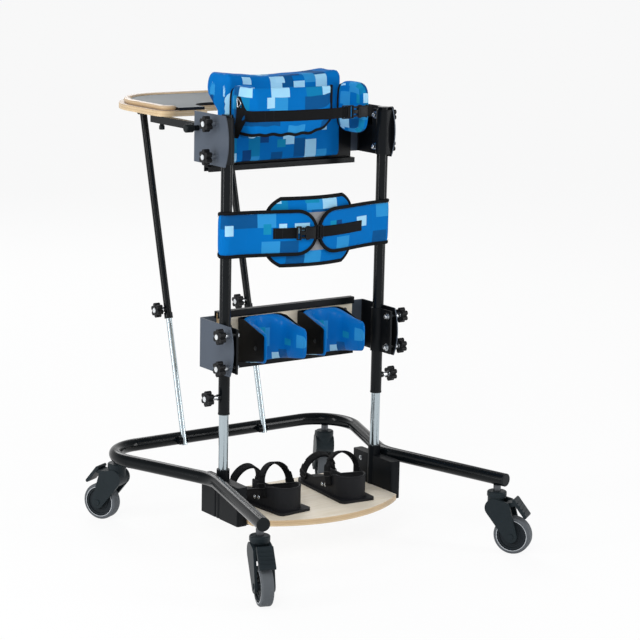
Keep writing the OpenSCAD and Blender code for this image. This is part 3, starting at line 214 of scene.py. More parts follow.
def powderCoat(name, code, rough, peel, shine, worn=None, inner=None):  # inner: near-black painted shade on the faces towards the middle
    f = Finish(name, Specular_IOR_Level=shine)
    place = f.place()
    grain = f.noise(place, 900.0, 2.0)
    cloud = f.noise(place, 9.0, 3.0)
    dust = tone(worn) if worn else lighter(tone(code), 1.35, 0.002)
    colour = f.blend(cloud * 0.6, tone(code), dust)
    if inner:
        # faces towards the middle get the painted shade colour, the outer faces keep the coat
        outward = f.axes(place)[0] * f.facing(0) > -0.01
        colour = f.blend(outward, tone(inner), colour)
    f.into(Base_Color=colour, Roughness=rough + grain * 0.08 + cloud * 0.05)
    f.bump(grain, peel, 0.5)
    return f.mat


def mouldedPlastic(name, code, rough, grit=700.0):
    f = Finish(name, Specular_IOR_Level=0.14)
    place = f.place()
    grain = f.noise(place, grit, 3.0)
    cloud = f.noise(place, 18.0, 2.0)
    colour = f.blend(cloud * 0.5, tone(code), lighter(tone(code), 1.5, 0.003))
    f.into(Base_Color=colour, Roughness=rough + cloud * 0.12 + grain * 0.06)
    f.bump(grain, 0.00012, 0.6)
    return f.mat


def brightMetal(name, code, rough, drawn):
    f = Finish(name, Metallic=1.0)
    place = f.place()
    streak = f.noise(f.stretch(place, (drawn, drawn, drawn)), 60.0, 3.0)
    cloud = f.noise(place, 14.0, 3.0)
    colour = f.blend(streak * 0.25, tone(code), tone("b9bec4"))
    f.into(Base_Color=colour, Roughness=rough + streak * 0.05 + cloud * 0.04)
    return f.mat


birchTones = ("e5d8be", "f0e5d1", "f7efe1")
rimTones = ("b49f8b", "c5b19d", "d5c4b3")


def plywood(name, thickAxis, pitch, tones=birchTones):  # grain on the broad faces, plies on the edges
    f = Finish(name, Coat_Roughness=0.25, Specular_IOR_Level=0.4)
    place = f.place()
    grain = f.noise(f.stretch(place, (3.2, 46.0, 46.0)), 3.0, 5.0, 0.62)
    cloud = f.noise(place, 6.0, 2.0)
    pores = f.noise(f.stretch(place, (12.8, 184.0, 184.0)), 5.0, 2.0)
    face = f.ramp(grain * 0.8 + cloud * 0.22, list(zip((0.28, 0.5, 0.74), tones)))
    face = f.blend((pores > 0.66) * 0.16, face, tone("bfa47c"))
    layer = f.axes(place)[thickAxis] / pitch
    pick = f.cells("1D", W=layer.floor())
    ply = f.ramp(pick * 0.75 + grain * 0.3, [(0.0, "b3946c"), (0.5, "cab08a"), (1.0, "dcc7a4")])
    seam = (layer.fract() - 0.5).abs() > 0.43
    ply = f.blend(seam * 0.45, ply, tone("a07a4c"))
    broad = f.facing(thickAxis).abs() > 0.6
    f.into(Base_Color=f.blend(broad, ply, face), Roughness=0.36 + grain * 0.18, Coat_Weight=0.25)
    f.bump(grain + pores * 0.3, 0.0003, 0.35)
    return f


def blockPrint(name, rough, coat, weave, often, ground=("0072c2", "0066b2")):  # blocks of two sizes
    f = Finish(name, Specular_IOR_Level=0.05, Coat_Roughness=0.16)
    cloth = f.cloth()
    u, v = f.axes(cloth)[:2]

    def blocks(wide, high, salt):
        row = (v / high + salt).floor()
        slide = f.cells("1D", W=row)
        column = (u / wide + slide * 5.0).floor()
        return f.cells("3D", Vector=f.node("CombineXYZ", None, X=column, Y=row, Z=salt)), slide

    colour = f.blend(f.noise(cloth, 7.0, 2.0) * 0.5, tone(ground[0]), tone(ground[1]))
    pick, line = blocks(0.05, 0.036, 3.0)
    washes = [(0.0, "a2d8f6"), (0.36, "0b5490"), (0.58, "0f7fb4"), (0.8, "2f93d4")]
    wash = f.ramp((pick * 7.31).fract(), washes, True)
    colour = f.blend((pick > 1 - 0.5 * often) * (line > 0.12), colour, wash)
    small, smallLine = blocks(0.021, 0.027, 11.0)
    fleck = f.ramp((small * 9.17).fract(), [(0.0, "a8dbf7"), (0.5, "0f4580"), (0.72, "158cb8")], True)
    colour = f.blend((small > 1 - 0.32 * often) * (smallLine > 0.55), colour, fleck)
    knit = (u * (2 * pi / weave)).sin() * (v * (2 * pi / weave)).sin()
    fuzz = f.noise(cloth, 900.0, 2.0)
    colour = f.blend(fuzz * 0.12, colour, tone("07355f"))
    f.into(Base_Color=colour, Roughness=rough + fuzz * 0.12, Coat_Weight=coat)
    f.bump(knit * 0.5 + fuzz * 0.7, 0.00035, 0.6)
    return f


def wovenTape(name, code, rib, rough):  # ribs across the tape and a twill along it
    f = Finish(name, Specular_IOR_Level=0.08)
    u, v = f.axes(f.cloth())[:2]
    ribs = (v * (2 * pi / rib)).sin() * 0.5 + 0.5
    twill = ((u + v * 0.5) * (2 * pi / (rib * 1.4))).sin() * 0.5 + 0.5
    fuzz = f.noise(f.cloth(), 700.0, 2.0)
    colour = f.blend(twill * ribs * 0.6, tone(code), lighter(tone(code), 2.2, 0.004))
    f.into(Base_Color=colour, Roughness=rough + fuzz * 0.15)
    f.bump(ribs * 0.6 + twill * 0.5 + fuzz * 0.3, 0.0004, 0.7)
    return f.mat


finish = {
    "tube": powderCoat("glossBlackCoat", "080c0f", 0.11, 0.00004, 0.16),
    # slate plates; the last colour is painted shade on their inner faces
    "plate": powderCoat("slateCoat", "4a525d", 0.34, 0.0001, 0.12, "565e6a", "0c0e11"),
    "board": powderCoat("satinBlackCoat", "0d1013", 0.3, 0.0001, 0.1),
    "chrome": brightMetal("brightChrome", "b0bdc3", 0.1, 0.1),
    "zinc": brightMetal("zincSteel", "c3c7cb", 0.22, 8.0),
    "stem": brightMetal("darkZinc", "3b3d40", 0.3, 8.0),
    "moulded": mouldedPlastic("mouldedBlack", "14181a", 0.4),
    "castor": mouldedPlastic("castorHousing", "1a2226", 0.34),
    "shell": mouldedPlastic("cupShellBlack", "08090b", 0.3),
    "leather": mouldedPlastic("sandalBlack", "17181b", 0.48, 420.0),
    "buckle": mouldedPlastic("buckleBlack", "141517", 0.34),
    "ply": plywood("footplatePly", 2, 0.0023).mat,
    "kneePly": plywood("kneeBoardPly", 1, 0.002).mat,
    "rimPly": plywood("rimPly", 2, 0.0025, rimTones).mat,
    "cover": blockPrint("printedKnit", 0.62, 0.0, 0.0016, 0.82).mat,
    "vinyl": blockPrint("printedVinyl", 0.3, 0.1, 0.0012, 0.45, ("0070c2", "0062ae")).mat,
    "binding": wovenTape("blackBinding", "101113", 0.0011, 0.7),
    "webbing": wovenTape("blackWebbing", "0e0f11", 0.0019, 0.62),
    "thread": mouldedPlastic("sewingThread", "2a2c31", 0.6),
}


def trayTop(sheetLow):  # plywood with a grey laminate above this height
    f = plywood("trayPly", 2, 0.0021, rimTones)
    place = f.place()
    sheet = f.axes(place)[2] > sheetLow
    speck = f.noise(place, 1400.0, 2.0)
    cloud = f.noise(place, 5.0, 3.0)
    grey = f.blend(speck * 0.4, tone("50595d"), tone("646e72"))
    grey = f.blend(f.facing(2) > 0.5, tone("141517"), grey)
    rough = f.fed("Roughness") * (1 - sheet) + sheet * (0.5 + cloud * 0.12)
    f.into(Base_Color=f.blend(sheet, f.fed("Base Color"), grey), Coat_Weight=0.12 - sheet * 0.12)
    f.into(Roughness=rough, Specular_IOR_Level=0.3)
    return f.mat


def axisRadius(f, place, joint):  # distance from a joint's axis
    spoke = f.node("VectorMath", {"operation": "SUBTRACT"}, Vector=place, Vector_001=tuple(joint["pos_m"]))
    axis = tuple(joint["axis"])
    along = f.node("VectorMath", {"operation": "DOT_PRODUCT"}, 1, Vector=spoke, Vector_001=axis)
    length = f.node("VectorMath", {"operation": "LENGTH"}, 1, Vector=spoke)
    return (length * length - along * along).root()


wheelTrim = {"ringIn": 0.0402, "tyreIn": 0.0409, "ringOut": 0.0416}  # metres from the axle


def wheelFinish(name, joint, c):  # tyre, light ring and hub by distance from the axle
    f = Finish(name, Specular_IOR_Level=0.15)
    place = f.place()
    radius = axisRadius(f, place, joint)
    scuff = f.noise(place, 160.0, 4.0)
    dirt = f.noise(place, 30.0, 4.0)
    tyre = f.blend(dirt * 0.5, tone("5c6064"), tone("4a4e52"))
    hub = f.blend(dirt * 0.4, tone("1d2327"), tone("262c31"))
    ring = (radius > c["ringIn"]) * (radius < c["ringOut"])
    colour = f.blend(ring, f.blend(radius > c["tyreIn"], hub, tyre), tone("c4c8cc"))
    f.into(Base_Color=colour, Roughness=0.5 + scuff * 0.2 - ring * 0.2)
    f.bump(scuff, 0.0002, 0.4)
    return f.mat


knobTrim = {"cap": 0.0011, "stud": 0.0072}  # depth of the cap and radius of the stud, metres


def knobFinish(node, axis, c):  # pale centre cap on the outer end, bright spacer on the stud
    low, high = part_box(node)
    f = Finish("finish_" + node, Specular_IOR_Level=0.15)
    place = f.place()
    x = f.axes(place)[0]
    cap = x > high[0] - c["cap"] if axis > 0 else x < low[0] + c["cap"]
    bright = (axisRadius(f, place, joints[node + "_turn"]) < c["stud"]) * (1 - cap)
    grain = f.noise(place, 800.0, 3.0)
    colour = f.blend(bright, f.blend(cap, tone("141517"), tone("d5d8da")), tone("c3c7cb"))
    f.into(Base_Color=colour, Roughness=0.4 + grain * 0.1 - cap * 0.15 - bright * 0.15, Metallic=bright)
    f.bump(grain, 0.0001, 0.5)
    return f.mat


plush = {"middle": (0.134, 0.087), "half": (0.085, 0.05)}  # place of the loop panel on the cloth's map


def plushPanel(c):  # printed knit with a grey loop panel in the middle
    f = blockPrint("plushPanelKnit", 0.66, 0.0, 0.0016, 0.82)
    u, v = f.axes(f.cloth())[:2]
    fluff = f.noise(f.cloth(), 420.0, 4.0)
    panel = ((v - c["middle"][1]).abs() < c["half"][1]) * ((u - c["middle"][0]).abs() < c["half"][0])
    grey = f.blend(fluff, tone("77787c"), tone("a3a4a8"))
    f.into(Base_Color=f.blend(panel, f.fed("Base Color"), grey))
    return f.mat


def paint(material, *names):
    for name in names:
        mesh = frame["nodes"][name].data
        if not mesh.materials:
            mesh.materials.append(material)
        for slot in frame["nodes"][name].material_slots:
            slot.material = material


paint(finish["tube"], "base_frame", "upright_outer_tubes", "strut_tubes", "tray_rails", "strut_foot_brackets")
paint(finish["board"], "footplate_hangers", "chest_board", "knee_board_profiles")
paint(finish["board"], "chest_clamp_jaws", "knee_clamp_jaws", "strut_top_brackets")
paint(finish["plate"], "chest_brackets", "knee_brackets")
paint(finish["chrome"], "upright_inner_tubes", "strut_rods")
paint(finish["stem"], "caster_stems")
paint(finish["moulded"], "rail_screws", "frame_end_caps", "upright_guide_bushes")
paint(finish["moulded"], "tray_plunger_left", "tray_plunger_right")
paint(finish["shell"], "knee_pad_shells")
paint(finish["leather"], "sandals")
paint(finish["ply"], "footplate")
paint(finish["kneePly"], "knee_board")
paint(trayTop(sheetLow=1.12725), "tray_board")
for corner in ("rear_left", "rear_right", "front_left", "front_right"):
    paint(finish["castor"], "caster_fork_" + corner, "brake_pedal_" + corner)
    tread = wheelFinish("wheel_" + corner, joints["wheel_spin_" + corner], wheelTrim)
    paint(tread, "caster_wheel_" + corner)
for node in frame["nodes"]:
    if "knob" in node:
        side = -1 if "left" in node or "strut" in node else 1
        paint(knobFinish(node, side, knobTrim), node)
print("finishes:", len(bpy.data.materials))


# mesh makers, all in mm from the uprights' foot

def stand(name, mesh, material=None, sharp=None):  # smooth faces, a finish and a place in the scene
    mesh.polygons.foreach_set("use_smooth", [True] * len(mesh.polygons))
    if sharp:
        mesh.set_sharp_from_angle(angle=radians(sharp))
    if material:
        mesh.materials.append(material)
    piece = bpy.data.objects.new(name, mesh)
    scene.collection.objects.link(piece)
    return piece


def standBuilt(name, bm, material, sharp=None):
    mesh = bpy.data.meshes.new(name)
    bm.to_mesh(mesh)
    bm.free()
    return stand(name, mesh, material, sharp)


def makePiece(name, points, faces, material, uvs, closed=True):
    mesh = bpy.data.meshes.new(name)
    mesh.from_pydata([spot(*p) for p in points], [], faces)
    layer = mesh.uv_layers.new(name="cloth")
    for face in mesh.polygons:
        for loop, corner in zip(face.loop_indices, uvs[face.index]):
            layer.data[loop].uv = (corner[0] * 0.001, corner[1] * 0.001)
    if closed:
        bm = bmesh.new()
        bm.from_mesh(mesh)
        bmesh.ops.recalc_face_normals(bm, faces=bm.faces)
        bm.to_mesh(mesh)
        bm.free()
    return stand(name, mesh, material)


def joinPieces(name, pieces):
    with bpy.context.temp_override(active_object=pieces[0], selected_editable_objects=pieces):
        bpy.ops.object.join()
    pieces[0].name = name
    return pieces[0]


def seat(piece, body, slot, *nodes):
    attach(piece, body)
    if nodes:
        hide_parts(*nodes)


def refine(piece):
    smooth = piece.modifiers.new("refine", "SUBSURF")
    smooth.levels = 1
    smooth.render_levels = 1


def loft(rings, loop=False):  # skin through rings of the same count
    rows = len(rings)
    count = len(rings[0])
    points = [p for ring in rings for p in ring]
    middle = rings[rows // 2]
    around = [0.0]
    for j in range(count):
        around.append(around[-1] + (middle[(j + 1) % count] - middle[j]).length)
    along = [0.0]
    for i in range(rows):
        gaps = [(a - b).length for a, b in zip(rings[(i + 1) % rows], rings[i])]
        along.append(along[-1] + sum(gaps) / count)
    faces = []
    uvs = []
    for i in range(rows if loop else rows - 1):
        k = (i + 1) % rows
        for j in range(count):
            n = (j + 1) % count
            faces.append((i * count + j, i * count + n, k * count + n, k * count + j))
            uvs.append(((around[j], along[i]), (around[j + 1], along[i]),
                        (around[j + 1], along[i + 1]), (around[j], along[i + 1])))
    if not loop:
        faces.append(tuple(range(count)))
        faces.append(tuple((rows - 1) * count + j for j in reversed(range(count))))
        uvs.append([(around[j], 0) for j in range(count)])
        uvs.append([(around[j], along[rows - 1]) for j in reversed(range(count))])
    return points, faces, uvs


def skin(name, rings, material, loop=False):
    points, faces, uvs = loft(rings, loop)
    return makePiece(name, points, faces, material, uvs)


def sweepRings(path, normals, section, loop=False):  # section (across, out) carried along a path
    rings = []
    last = len(path) - 1
    for i, p in enumerate(path):
        ahead = (i + 1) % len(path) if loop else min(i + 1, last)
        behind = i - 1 if loop else max(i - 1, 0)
        way = (path[ahead] - path[behind]).normalized()
        out = (normals[i] - way * normals[i].dot(way)).normalized()
        across = way.cross(out)
        rings.append([p + across * a + out * b for a, b in section])
    return rings


def sweepPiece(name, path, normals, section, material):
    return skin(name, sweepRings(path, normals, section), material)


def loopPiece(name, path, out, section, material):  # closed cord, wire or binding
    return skin(name, sweepRings(path, [out] * len(path), section, True), material, True)


def bow(turn, power):  # point of a unit superellipse
    c = cos(turn)
    s = sin(turn)
    reach = (abs(c) ** power + abs(s) ** power) ** (-1 / power)
    return c * reach, s * reach


def bows(count, power):
    return [bow(2 * pi * j / count, power) for j in range(count)]


def roundSection(wide, thick, power, count=12):
    return [(wide / 2 * a, thick / 2 * b) for a, b in bows(count, power)]


def wireSection(thick):
    return roundSection(thick, thick, 2.0, 8)


def tapeSection(wide, thick):
    w = wide / 2
    t = thick / 2
    e = min(thick * 0.45, 0.8)
    half = [(-w, -t + e), (-w + e, -t), (-w / 2, -t), (0, -t), (w / 2, -t), (w - e, -t), (w, -t + e)]
    return half + [(-a, -b) for a, b in half]


def arc(centre, radius, start, end, count):
    turns = [radians(start + (end - start) * i / count) for i in range(count + 1)]
    return [(centre[0] + radius * cos(t), centre[1] + radius * sin(t)) for t in turns]


def plan(points, z=0):  # points of a level line
    return [Vector((x, y, z)) for x, y in points]


def pathLength(path):
    return sum((b - a).length for a, b in zip(path, path[1:]))


def spread(points, step):  # even points along a polyline
    marks = [0.0]
    for a, b in zip(points, points[1:]):
        marks.append(marks[-1] + (b - a).length)
    count = max(2, round(marks[-1] / step))
    result = []
    seg = 0
    for i in range(count + 1):
        want = marks[-1] * i / count
        while seg < len(points) - 2 and marks[seg + 1] < want:
            seg += 1
        share = (want - marks[seg]) / max(1e-9, marks[seg + 1] - marks[seg])
        result.append(points[seg].lerp(points[seg + 1], min(1, share)))
    return result


def planNormals(path):  # outward ways of a path that runs level
    ways = []
    last = len(path) - 1
    for i in range(last + 1):
        d = path[min(i + 1, last)] - path[max(i - 1, 0)]
        ways.append(Vector((d.y, -d.x, 0)).normalized())
    return ways


def onLine(line, outs, share, off):
    place = share * (len(line) - 1)
    i = min(int(place), len(line) - 2)
    t = place - i
    n = outs[i].lerp(outs[i + 1], t).normalized()
    return line[i].lerp(line[i + 1], t) + n * off, n


def webStrip(name, line, step, wide, thick):  # flat webbing along a level line
    path = spread(line, step)
    return sweepPiece(name, path, planNormals(path), tapeSection(wide, thick), finish["webbing"])


def smoothStep(t):
    t = min(1.0, max(0.0, t))
    return t * t * (3 - 2 * t)


def pillow(name, pointAt, flatAt, nu, nv, material):  # two crowned sheets that share their sewn edge
    points = []
    index = {}
    for side in (1, -1):
        for i in range(nu + 1):
            for j in range(nv + 1):
                edge = i in (0, nu) or j in (0, nv)
                if edge and side < 0:
                    index[side, i, j] = index[1, i, j]
                    continue
                index[side, i, j] = len(points)
                points.append(pointAt(2 * i / nu - 1, 2 * j / nv - 1, 0 if edge else side))
    faces = []
    uvs = []
    for side in (1, -1):
        for i in range(nu):
            for j in range(nv):
                cell = [(i, j), (i + 1, j), (i + 1, j + 1), (i, j + 1)]
                cell = cell if side > 0 else cell[::-1]
                faces.append(tuple(index[side, a, b] for a, b in cell))
                uvs.append([flatAt(2 * a / nu - 1, 2 * b / nv - 1) for a, b in cell])
    piece = makePiece(name, points, faces, material, uvs)
    sewn = piece.vertex_groups.new(name="sewn")
    rim = {at for (side, i, j), at in index.items() if i in (0, nu) or j in (0, nv)}
    sewn.add(sorted(rim), 1.0, "REPLACE")
    return piece


def boxPad(name, centre, c, material):  # rounded cushion block with a box map
    half = c["half"]
    bm = bmesh.new()
    bmesh.ops.create_cube(bm, size=2)
    bmesh.ops.subdivide_edges(bm, edges=bm.edges[:], cuts=c["cuts"], use_grid_fill=True)
    bmesh.ops.recalc_face_normals(bm, faces=bm.faces)
    flat = bm.loops.layers.uv.new("cloth")
    for face in bm.faces:
        lead = max(range(3), key=lambda k: abs(face.normal[k]))
        a, b = [k for k in range(3) if k != lead]
        for loop in face.loops:
            p = loop.vert.co
            loop[flat].uv = ((p[a] * half[a] + centre[a] * 0.7) * 0.001, (p[b] * half[b] + centre[b]) * 0.001)
    for vert in bm.verts:
        p = vert.co
        size = sum(abs(k) ** c["power"] for k in p) ** (1 / c["power"])
        vert.co = spot(*[centre[k] + half[k] * p[k] / size for k in range(3)])
    return standBuilt(name, bm, material)


def block(bm, centre, size, edge):  # one rounded bar or plate, added to a mesh in mm
    verts = bmesh.ops.create_cube(bm, size=1)["verts"]
    for v in verts:
        v.co = Vector((v.co.x * size[0], v.co.y * size[1], v.co.z * size[2]))
    edges = list({e for v in verts for e in v.link_edges})
    rounded = bmesh.ops.bevel(bm, geom=edges, offset=edge, segments=3, affect="EDGES", profile=0.6)
    for v in {v for f in rounded["faces"] for v in f.verts} | {v for v in verts if v.is_valid}:
        v.co = v.co + Vector(centre)


def blockPiece(name, blocks, material, origin, turn):
    bm = bmesh.new()
    for centre, size, edge in blocks:
        block(bm, centre, size, edge)
    spin = Matrix.Rotation(turn, 3, "Z")
    for v in bm.verts:
        v.co = spot(*(spin @ v.co + Vector(origin)))
    return standBuilt(name, bm, material, 40)


# geometry node trees for what repeats

class Tree:
    def __init__(self, name, inputs):
        self.tree = bpy.data.node_groups.new(name, "GeometryNodeTree")
        face = self.tree.interface
        face.new_socket("Geometry", in_out="INPUT", socket_type="NodeSocketGeometry")
        self.keys = {}
        for label, kind in inputs.items():
            socket = face.new_socket(label, in_out="INPUT", socket_type="NodeSocket" + kind)
            self.keys[label] = socket.identifier
        face.new_socket("Geometry", in_out="OUTPUT", socket_type="NodeSocketGeometry")
        self.start = self.tree.nodes.new("NodeGroupInput")
        self.end = self.tree.nodes.new("NodeGroupOutput")

    def given(self, label):
        return Wire(self.tree, self.start.outputs[label])

    def node(self, kind, settings=None, **values):
        return addNode(self.tree, kind, settings, **values).outputs[0]

    def size(self, **values):
        return self.node("ShaderNodeCombineXYZ", **values)

    def standOn(self, points, piece, way):  # instances turned to a way, then a plain mesh with its finish
        turn = self.node("FunctionNodeAlignRotationToVector", {"axis": "Z"}, Vector=way)
        rows = self.node("GeometryNodeInstanceOnPoints", Points=points, Instance=piece, Rotation=turn)
        plain = self.node("GeometryNodeRealizeInstances", Geometry=rows)
        dressed = self.node("GeometryNodeSetMaterial", Geometry=plain, Material=self.given("Finish"))
        self.tree.links.new(dressed, self.end.inputs[0])


def threadTree():  # a row of stitches along edges
    t = Tree("threadRow", {"Stitch": "Float", "Pitch": "Float", "Thick": "Float", "Finish": "Material"})
    line = t.node("GeometryNodeMeshToCurve", Mesh=t.start.outputs[0])
    marks = t.node("GeometryNodeResampleCurve", {"mode": "LENGTH"}, Curve=line, Length=t.given("Pitch"))
    bead = t.node("GeometryNodeMeshUVSphere", Segments=6, Rings=4, Radius=1.0)
    size = t.size(X=t.given("Thick"), Y=t.given("Thick"), Z=t.given("Stitch"))
    stitch = t.node("GeometryNodeTransform", Geometry=bead, Scale=size)
    t.standOn(marks, stitch, t.node("GeometryNodeInputTangent"))
    return t


def screwTree():  # washer, hexagon and dome on each marked point
    t = Tree("screwSet", {"Radius": "Float", "Height": "Float", "Sides": "Int", "Finish": "Material"})
    tall = t.given("Height")
    wide = t.given("Radius")
    washer = t.node("GeometryNodeMeshCylinder", Vertices=24, Radius=wide * 1.45, Depth=tall * 0.22)
    body = t.node("GeometryNodeMeshCylinder", Vertices=t.given("Sides"), Radius=wide, Depth=tall)
    body = t.node("GeometryNodeTransform", Geometry=body, Translation=t.size(Z=tall * 0.5))
    dome = t.node("GeometryNodeMeshUVSphere", Segments=16, Rings=10, Radius=1.0)
    size = t.size(X=wide * 0.82, Y=wide * 0.82, Z=tall * 0.5)
    dome = t.node("GeometryNodeTransform", Geometry=dome, Translation=t.size(Z=tall * 0.9), Scale=size)
    head = t.node("GeometryNodeJoinGeometry", Geometry=[washer, body, dome])
    facing = t.node("GeometryNodeInputNamedAttribute", {"data_type": "FLOAT_VECTOR"}, Name="facing")
    t.standOn(t.start.outputs[0], head, facing)
    return t


trees = {"thread": threadTree(), "screw": screwTree()}


def growPiece(name, tree, points, edges, inputs, facing=()):  # run a tree, keep a plain mesh
    mesh = bpy.data.meshes.new(name + "Marks")
    mesh.from_pydata([spot(*p) for p in points], edges, [])
    if facing:
        layer = mesh.attributes.new("facing", "FLOAT_VECTOR", "POINT")
        for i, way in enumerate(facing):
            layer.data[i].vector = way
    holder = bpy.data.objects.new(name + "Marks", mesh)
    scene.collection.objects.link(holder)
    grow = holder.modifiers.new("grow", "NODES")
    grow.node_group = tree.tree
    for label, value in inputs.items():
        grow[tree.keys[label]] = value
    shown = holder.evaluated_get(bpy.context.evaluated_depsgraph_get())
    result = bpy.data.meshes.new_from_object(shown)
    holder.modifiers.remove(grow)
    bpy.data.objects.remove(holder)
    result.name = name
    return stand(name, result, None, 35)


def stitches(name, lines, seam):
    points = []
    edges = []
    for line in lines:
        start = len(points)
        points += line
        edges += [(start + i, start + i + 1) for i in range(len(line) - 1)]
    return growPiece(name, trees["thread"], points, edges, {
        "Stitch": seam["stitch"] * 0.0005, "Pitch": seam["pitch"] * 0.001,
        "Thick": seam["thick"] * 0.0005, "Finish": finish["thread"]})


def screws(name, marks, material, radius, height, flats=6):
    inputs = {"Radius": radius * 0.001, "Height": height * 0.001, "Sides": flats, "Finish": material}
    return growPiece(name, trees["screw"], [m[0] for m in marks], [], inputs, [m[1] for m in marks])


strapSeam = {"stitch": 2.6, "pitch": 3.2, "thick": 0.8}


def seamAcross(x, y, z):
    return [Vector((x, y, z + h)) for h in (-12, -6, 0, 6, 12)]


# cloth run: every cushion that waits here is puffed in one pass

waiting = []


def puffAll(frames):
    rest = {}
    for piece, swell in waiting:
        rest[piece.name] = [v.co.copy() for v in piece.data.vertices]
        run = piece.modifiers.new("puff", "CLOTH")
        fabric = {"quality": 6, "mass": 0.3, "tension_stiffness": 25, "compression_stiffness": 25,
                  "shear_stiffness": 8, "bending_stiffness": swell["bend"], "use_pressure": True,
                  "uniform_pressure_force": swell["pressure"], "shrink_min": -swell.get("slack", 0.0)}
        for key, value in fabric.items():
            setattr(run.settings, key, value)
        run.settings.effector_weights.gravity = 0
        if "sewn" in piece.vertex_groups:
            run.settings.vertex_group_mass = "sewn"
        run.collision_settings.use_collision = False
        run.point_cache.frame_start = 1
        run.point_cache.frame_end = frames
    for number in range(1, frames + 1):
        scene.frame_set(number)
    graph = bpy.context.evaluated_depsgraph_get()
    for piece, swell in waiting:
        shown = [v.co.copy() for v in piece.evaluated_get(graph).data.vertices]
        piece.modifiers.remove(piece.modifiers["puff"])
        most = swell["cap"] * 0.001
        far = 0.0
        for vert, a, b in zip(piece.data.vertices, rest[piece.name], shown):
            move = b - a
            if move.length > most:
                move *= most / move.length
            far = max(far, move.length)
            place = a + move
            for axis, low, high in swell.get("walls", ()):
                offset = standY if axis == 1 else 0
                place[axis] = min(max(place[axis], (low + offset) * 0.001), (high + offset) * 0.001)
            vert.co = place
        print("puffed", piece.name, "most", round(far * 1000, 2), "mm")
    scene.frame_set(1)


# chest support

chestCushion = {"half": 183.0, "rear": 99.0, "front": 160.0, "low": 1006.0, "top": 1238.0, "rollFront": 212.0,
                "rollLow": 1167.0, "rollR": 28.0, "crown": 5.0, "dip": 11.0, "round": 12.0, "corner": 20.0,
                "stations": 44, "swell": {"pressure": 3.0, "cap": 3.0, "bend": 2.0,
                                          "walls": [(0, -184, 184), (1, 90, 216), (2, 1004, 1240)]}}


def cushionRing(c, share):
    x = share * c["half"]
    a = max(0.0, (abs(x) - c["half"] + c["round"]) / c["round"])
    inset = c["round"] * (1 - sqrt(max(0.0, 1 - a * a)))
    rear = c["rear"] + inset
    front = c["front"] - inset
    low = c["low"] + inset
    top = c["top"] - inset - c["dip"] * (1 - share * share)
    r = c["corner"]
    crown = c["crown"] * (1 - share * share)
    rollR = c["rollR"] - inset * 0.4
    mid = (c["rollFront"] - inset - rollR, c["rollLow"] + rollR + inset * 0.3)
    line = arc((front - r / 2, low + r / 2), r / 2, -90, 0, 4)
    line += [(front, low + (mid[1] - rollR - low) * t) for t in (0.25, 0.45, 0.65, 0.82, 0.93, 0.98)]
    line += arc(mid, rollR, -95, -5, 6)
    turns = [pi / 2 * k / 6 for k in range(7)]
    line += [(mid[0] + rollR * cos(t), mid[1] + (top - mid[1]) * sin(t)) for t in turns]
    line += [(mid[0] * (1 - t) + (rear + r) * t, top - 1.5 * sin(pi * t)) for t in (0.25, 0.5, 0.75)]
    line += arc((rear + r, top - r), r, 90, 180, 6)
    for t in (0.12, 0.25, 0.38, 0.5, 0.62, 0.75, 0.88):
        line.append((rear - crown * 4 * t * (1 - t), top - r + (low + r / 2 - top + r) * t))
    line += arc((rear + r / 2, low + r / 2), r / 2, 180, 270, 4)
    line += [(rear + r / 2 + (front - rear - r) * t, low) for t in (0.33, 0.66)]
    return [Vector((x, y, z)) for y, z in line]


def makeChestCushion(c):
    steps = [2 * i / c["stations"] - 1 for i in range(c["stations"] + 1)]
    rings = [cushionRing(c, sin(t * pi / 2) * 0.35 + t * 0.65) for t in steps]
    points, faces, uvs = loft(rings)
    uvs[-2] = [(p.y + 900, p.z) for p in rings[0]]
    uvs[-1] = [(p.y + 400, p.z) for p in reversed(rings[-1])]
    piece = makePiece("chestCushion", points, faces, finish["cover"], uvs)
    waiting.append((piece, c["swell"]))
    return piece


lateral = {"x": 169.0, "y": 32.8, "z": 1146.0, "half": (16.5, 56.5, 66.5), "power": 3.8, "cuts": 15,
           "span": (150.0, 187.0), "walls": [(1, -25, 90.4), (2, 1078, 1214)],
           "pipe": 6.0, "pipeY": 49.0, "pipeInset": (2.0, 12.0),
           "swell": {"pressure": 5.0, "cap": 4.0, "bend": 1.0}}


def makeLaterals(c):
    pads = []
    for side, name in sides:
        pad = boxPad("lateralCushion_" + name, (side * c["x"], c["y"], c["z"]), c, finish["cover"])
        low, high = sorted(side * x for x in c["span"])
        waiting.append((pad, dict(c["swell"], walls=[(0, low, high)] + c["walls"])))
        pads.append(pad)
    return pads


def makeLateralPiping(c):  # cord sewn round each side cushion where it meets the chest cushion
    made = []
    wide = c["half"][0] - c["pipeInset"][0]
    tall = c["half"][2] - c["pipeInset"][1]
    for side in (-1, 1):
        middle = Vector((side * c["x"], c["y"] + c["pipeY"], c["z"]))
        line = [middle + Vector((wide * a, 0, tall * b)) for a, b in bows(96, c["power"])]
        made.append(loopPiece("piping", line, Vector((0, 1, 0)), wireSection(c["pipe"]), finish["binding"]))
    return joinPieces("lateralPiping", made)


flap = {"side": -192.6, "rear": -30.8, "turn": 16.0, "start": 52.0, "end": 40.0, "bulge": 16.0, "top": 1215.0,
        "low": 1093.0, "rise": 34.0, "thick": 9.0, "steps": 60, "rows": 14, "pucker": 1.6, "folds": 46.0,
        "binding": (8.0, 4.6, 2.6),
        "swell": {"pressure": 5.0, "cap": 2.5, "bend": 0.4, "slack": 0.012, "walls": [(0, -200, 60)]}}


def flapLine(c):
    corner = (c["side"] + c["turn"], c["rear"] + c["turn"])
    line = [(c["side"], c["start"] + (corner[1] - c["start"]) * i / 6) for i in range(6)]
    line += arc(corner, c["turn"], 180, 270, 10)
    for t in [i / 24 for i in range(1, 25)]:
        line.append((corner[0] + (c["end"] - corner[0]) * t, c["rear"] - c["bulge"] * smoothStep(2 * t)))
    return spread(plan(line), 4.0)


flapPath = flapLine(flap)
flapOut = planNormals(flapPath)


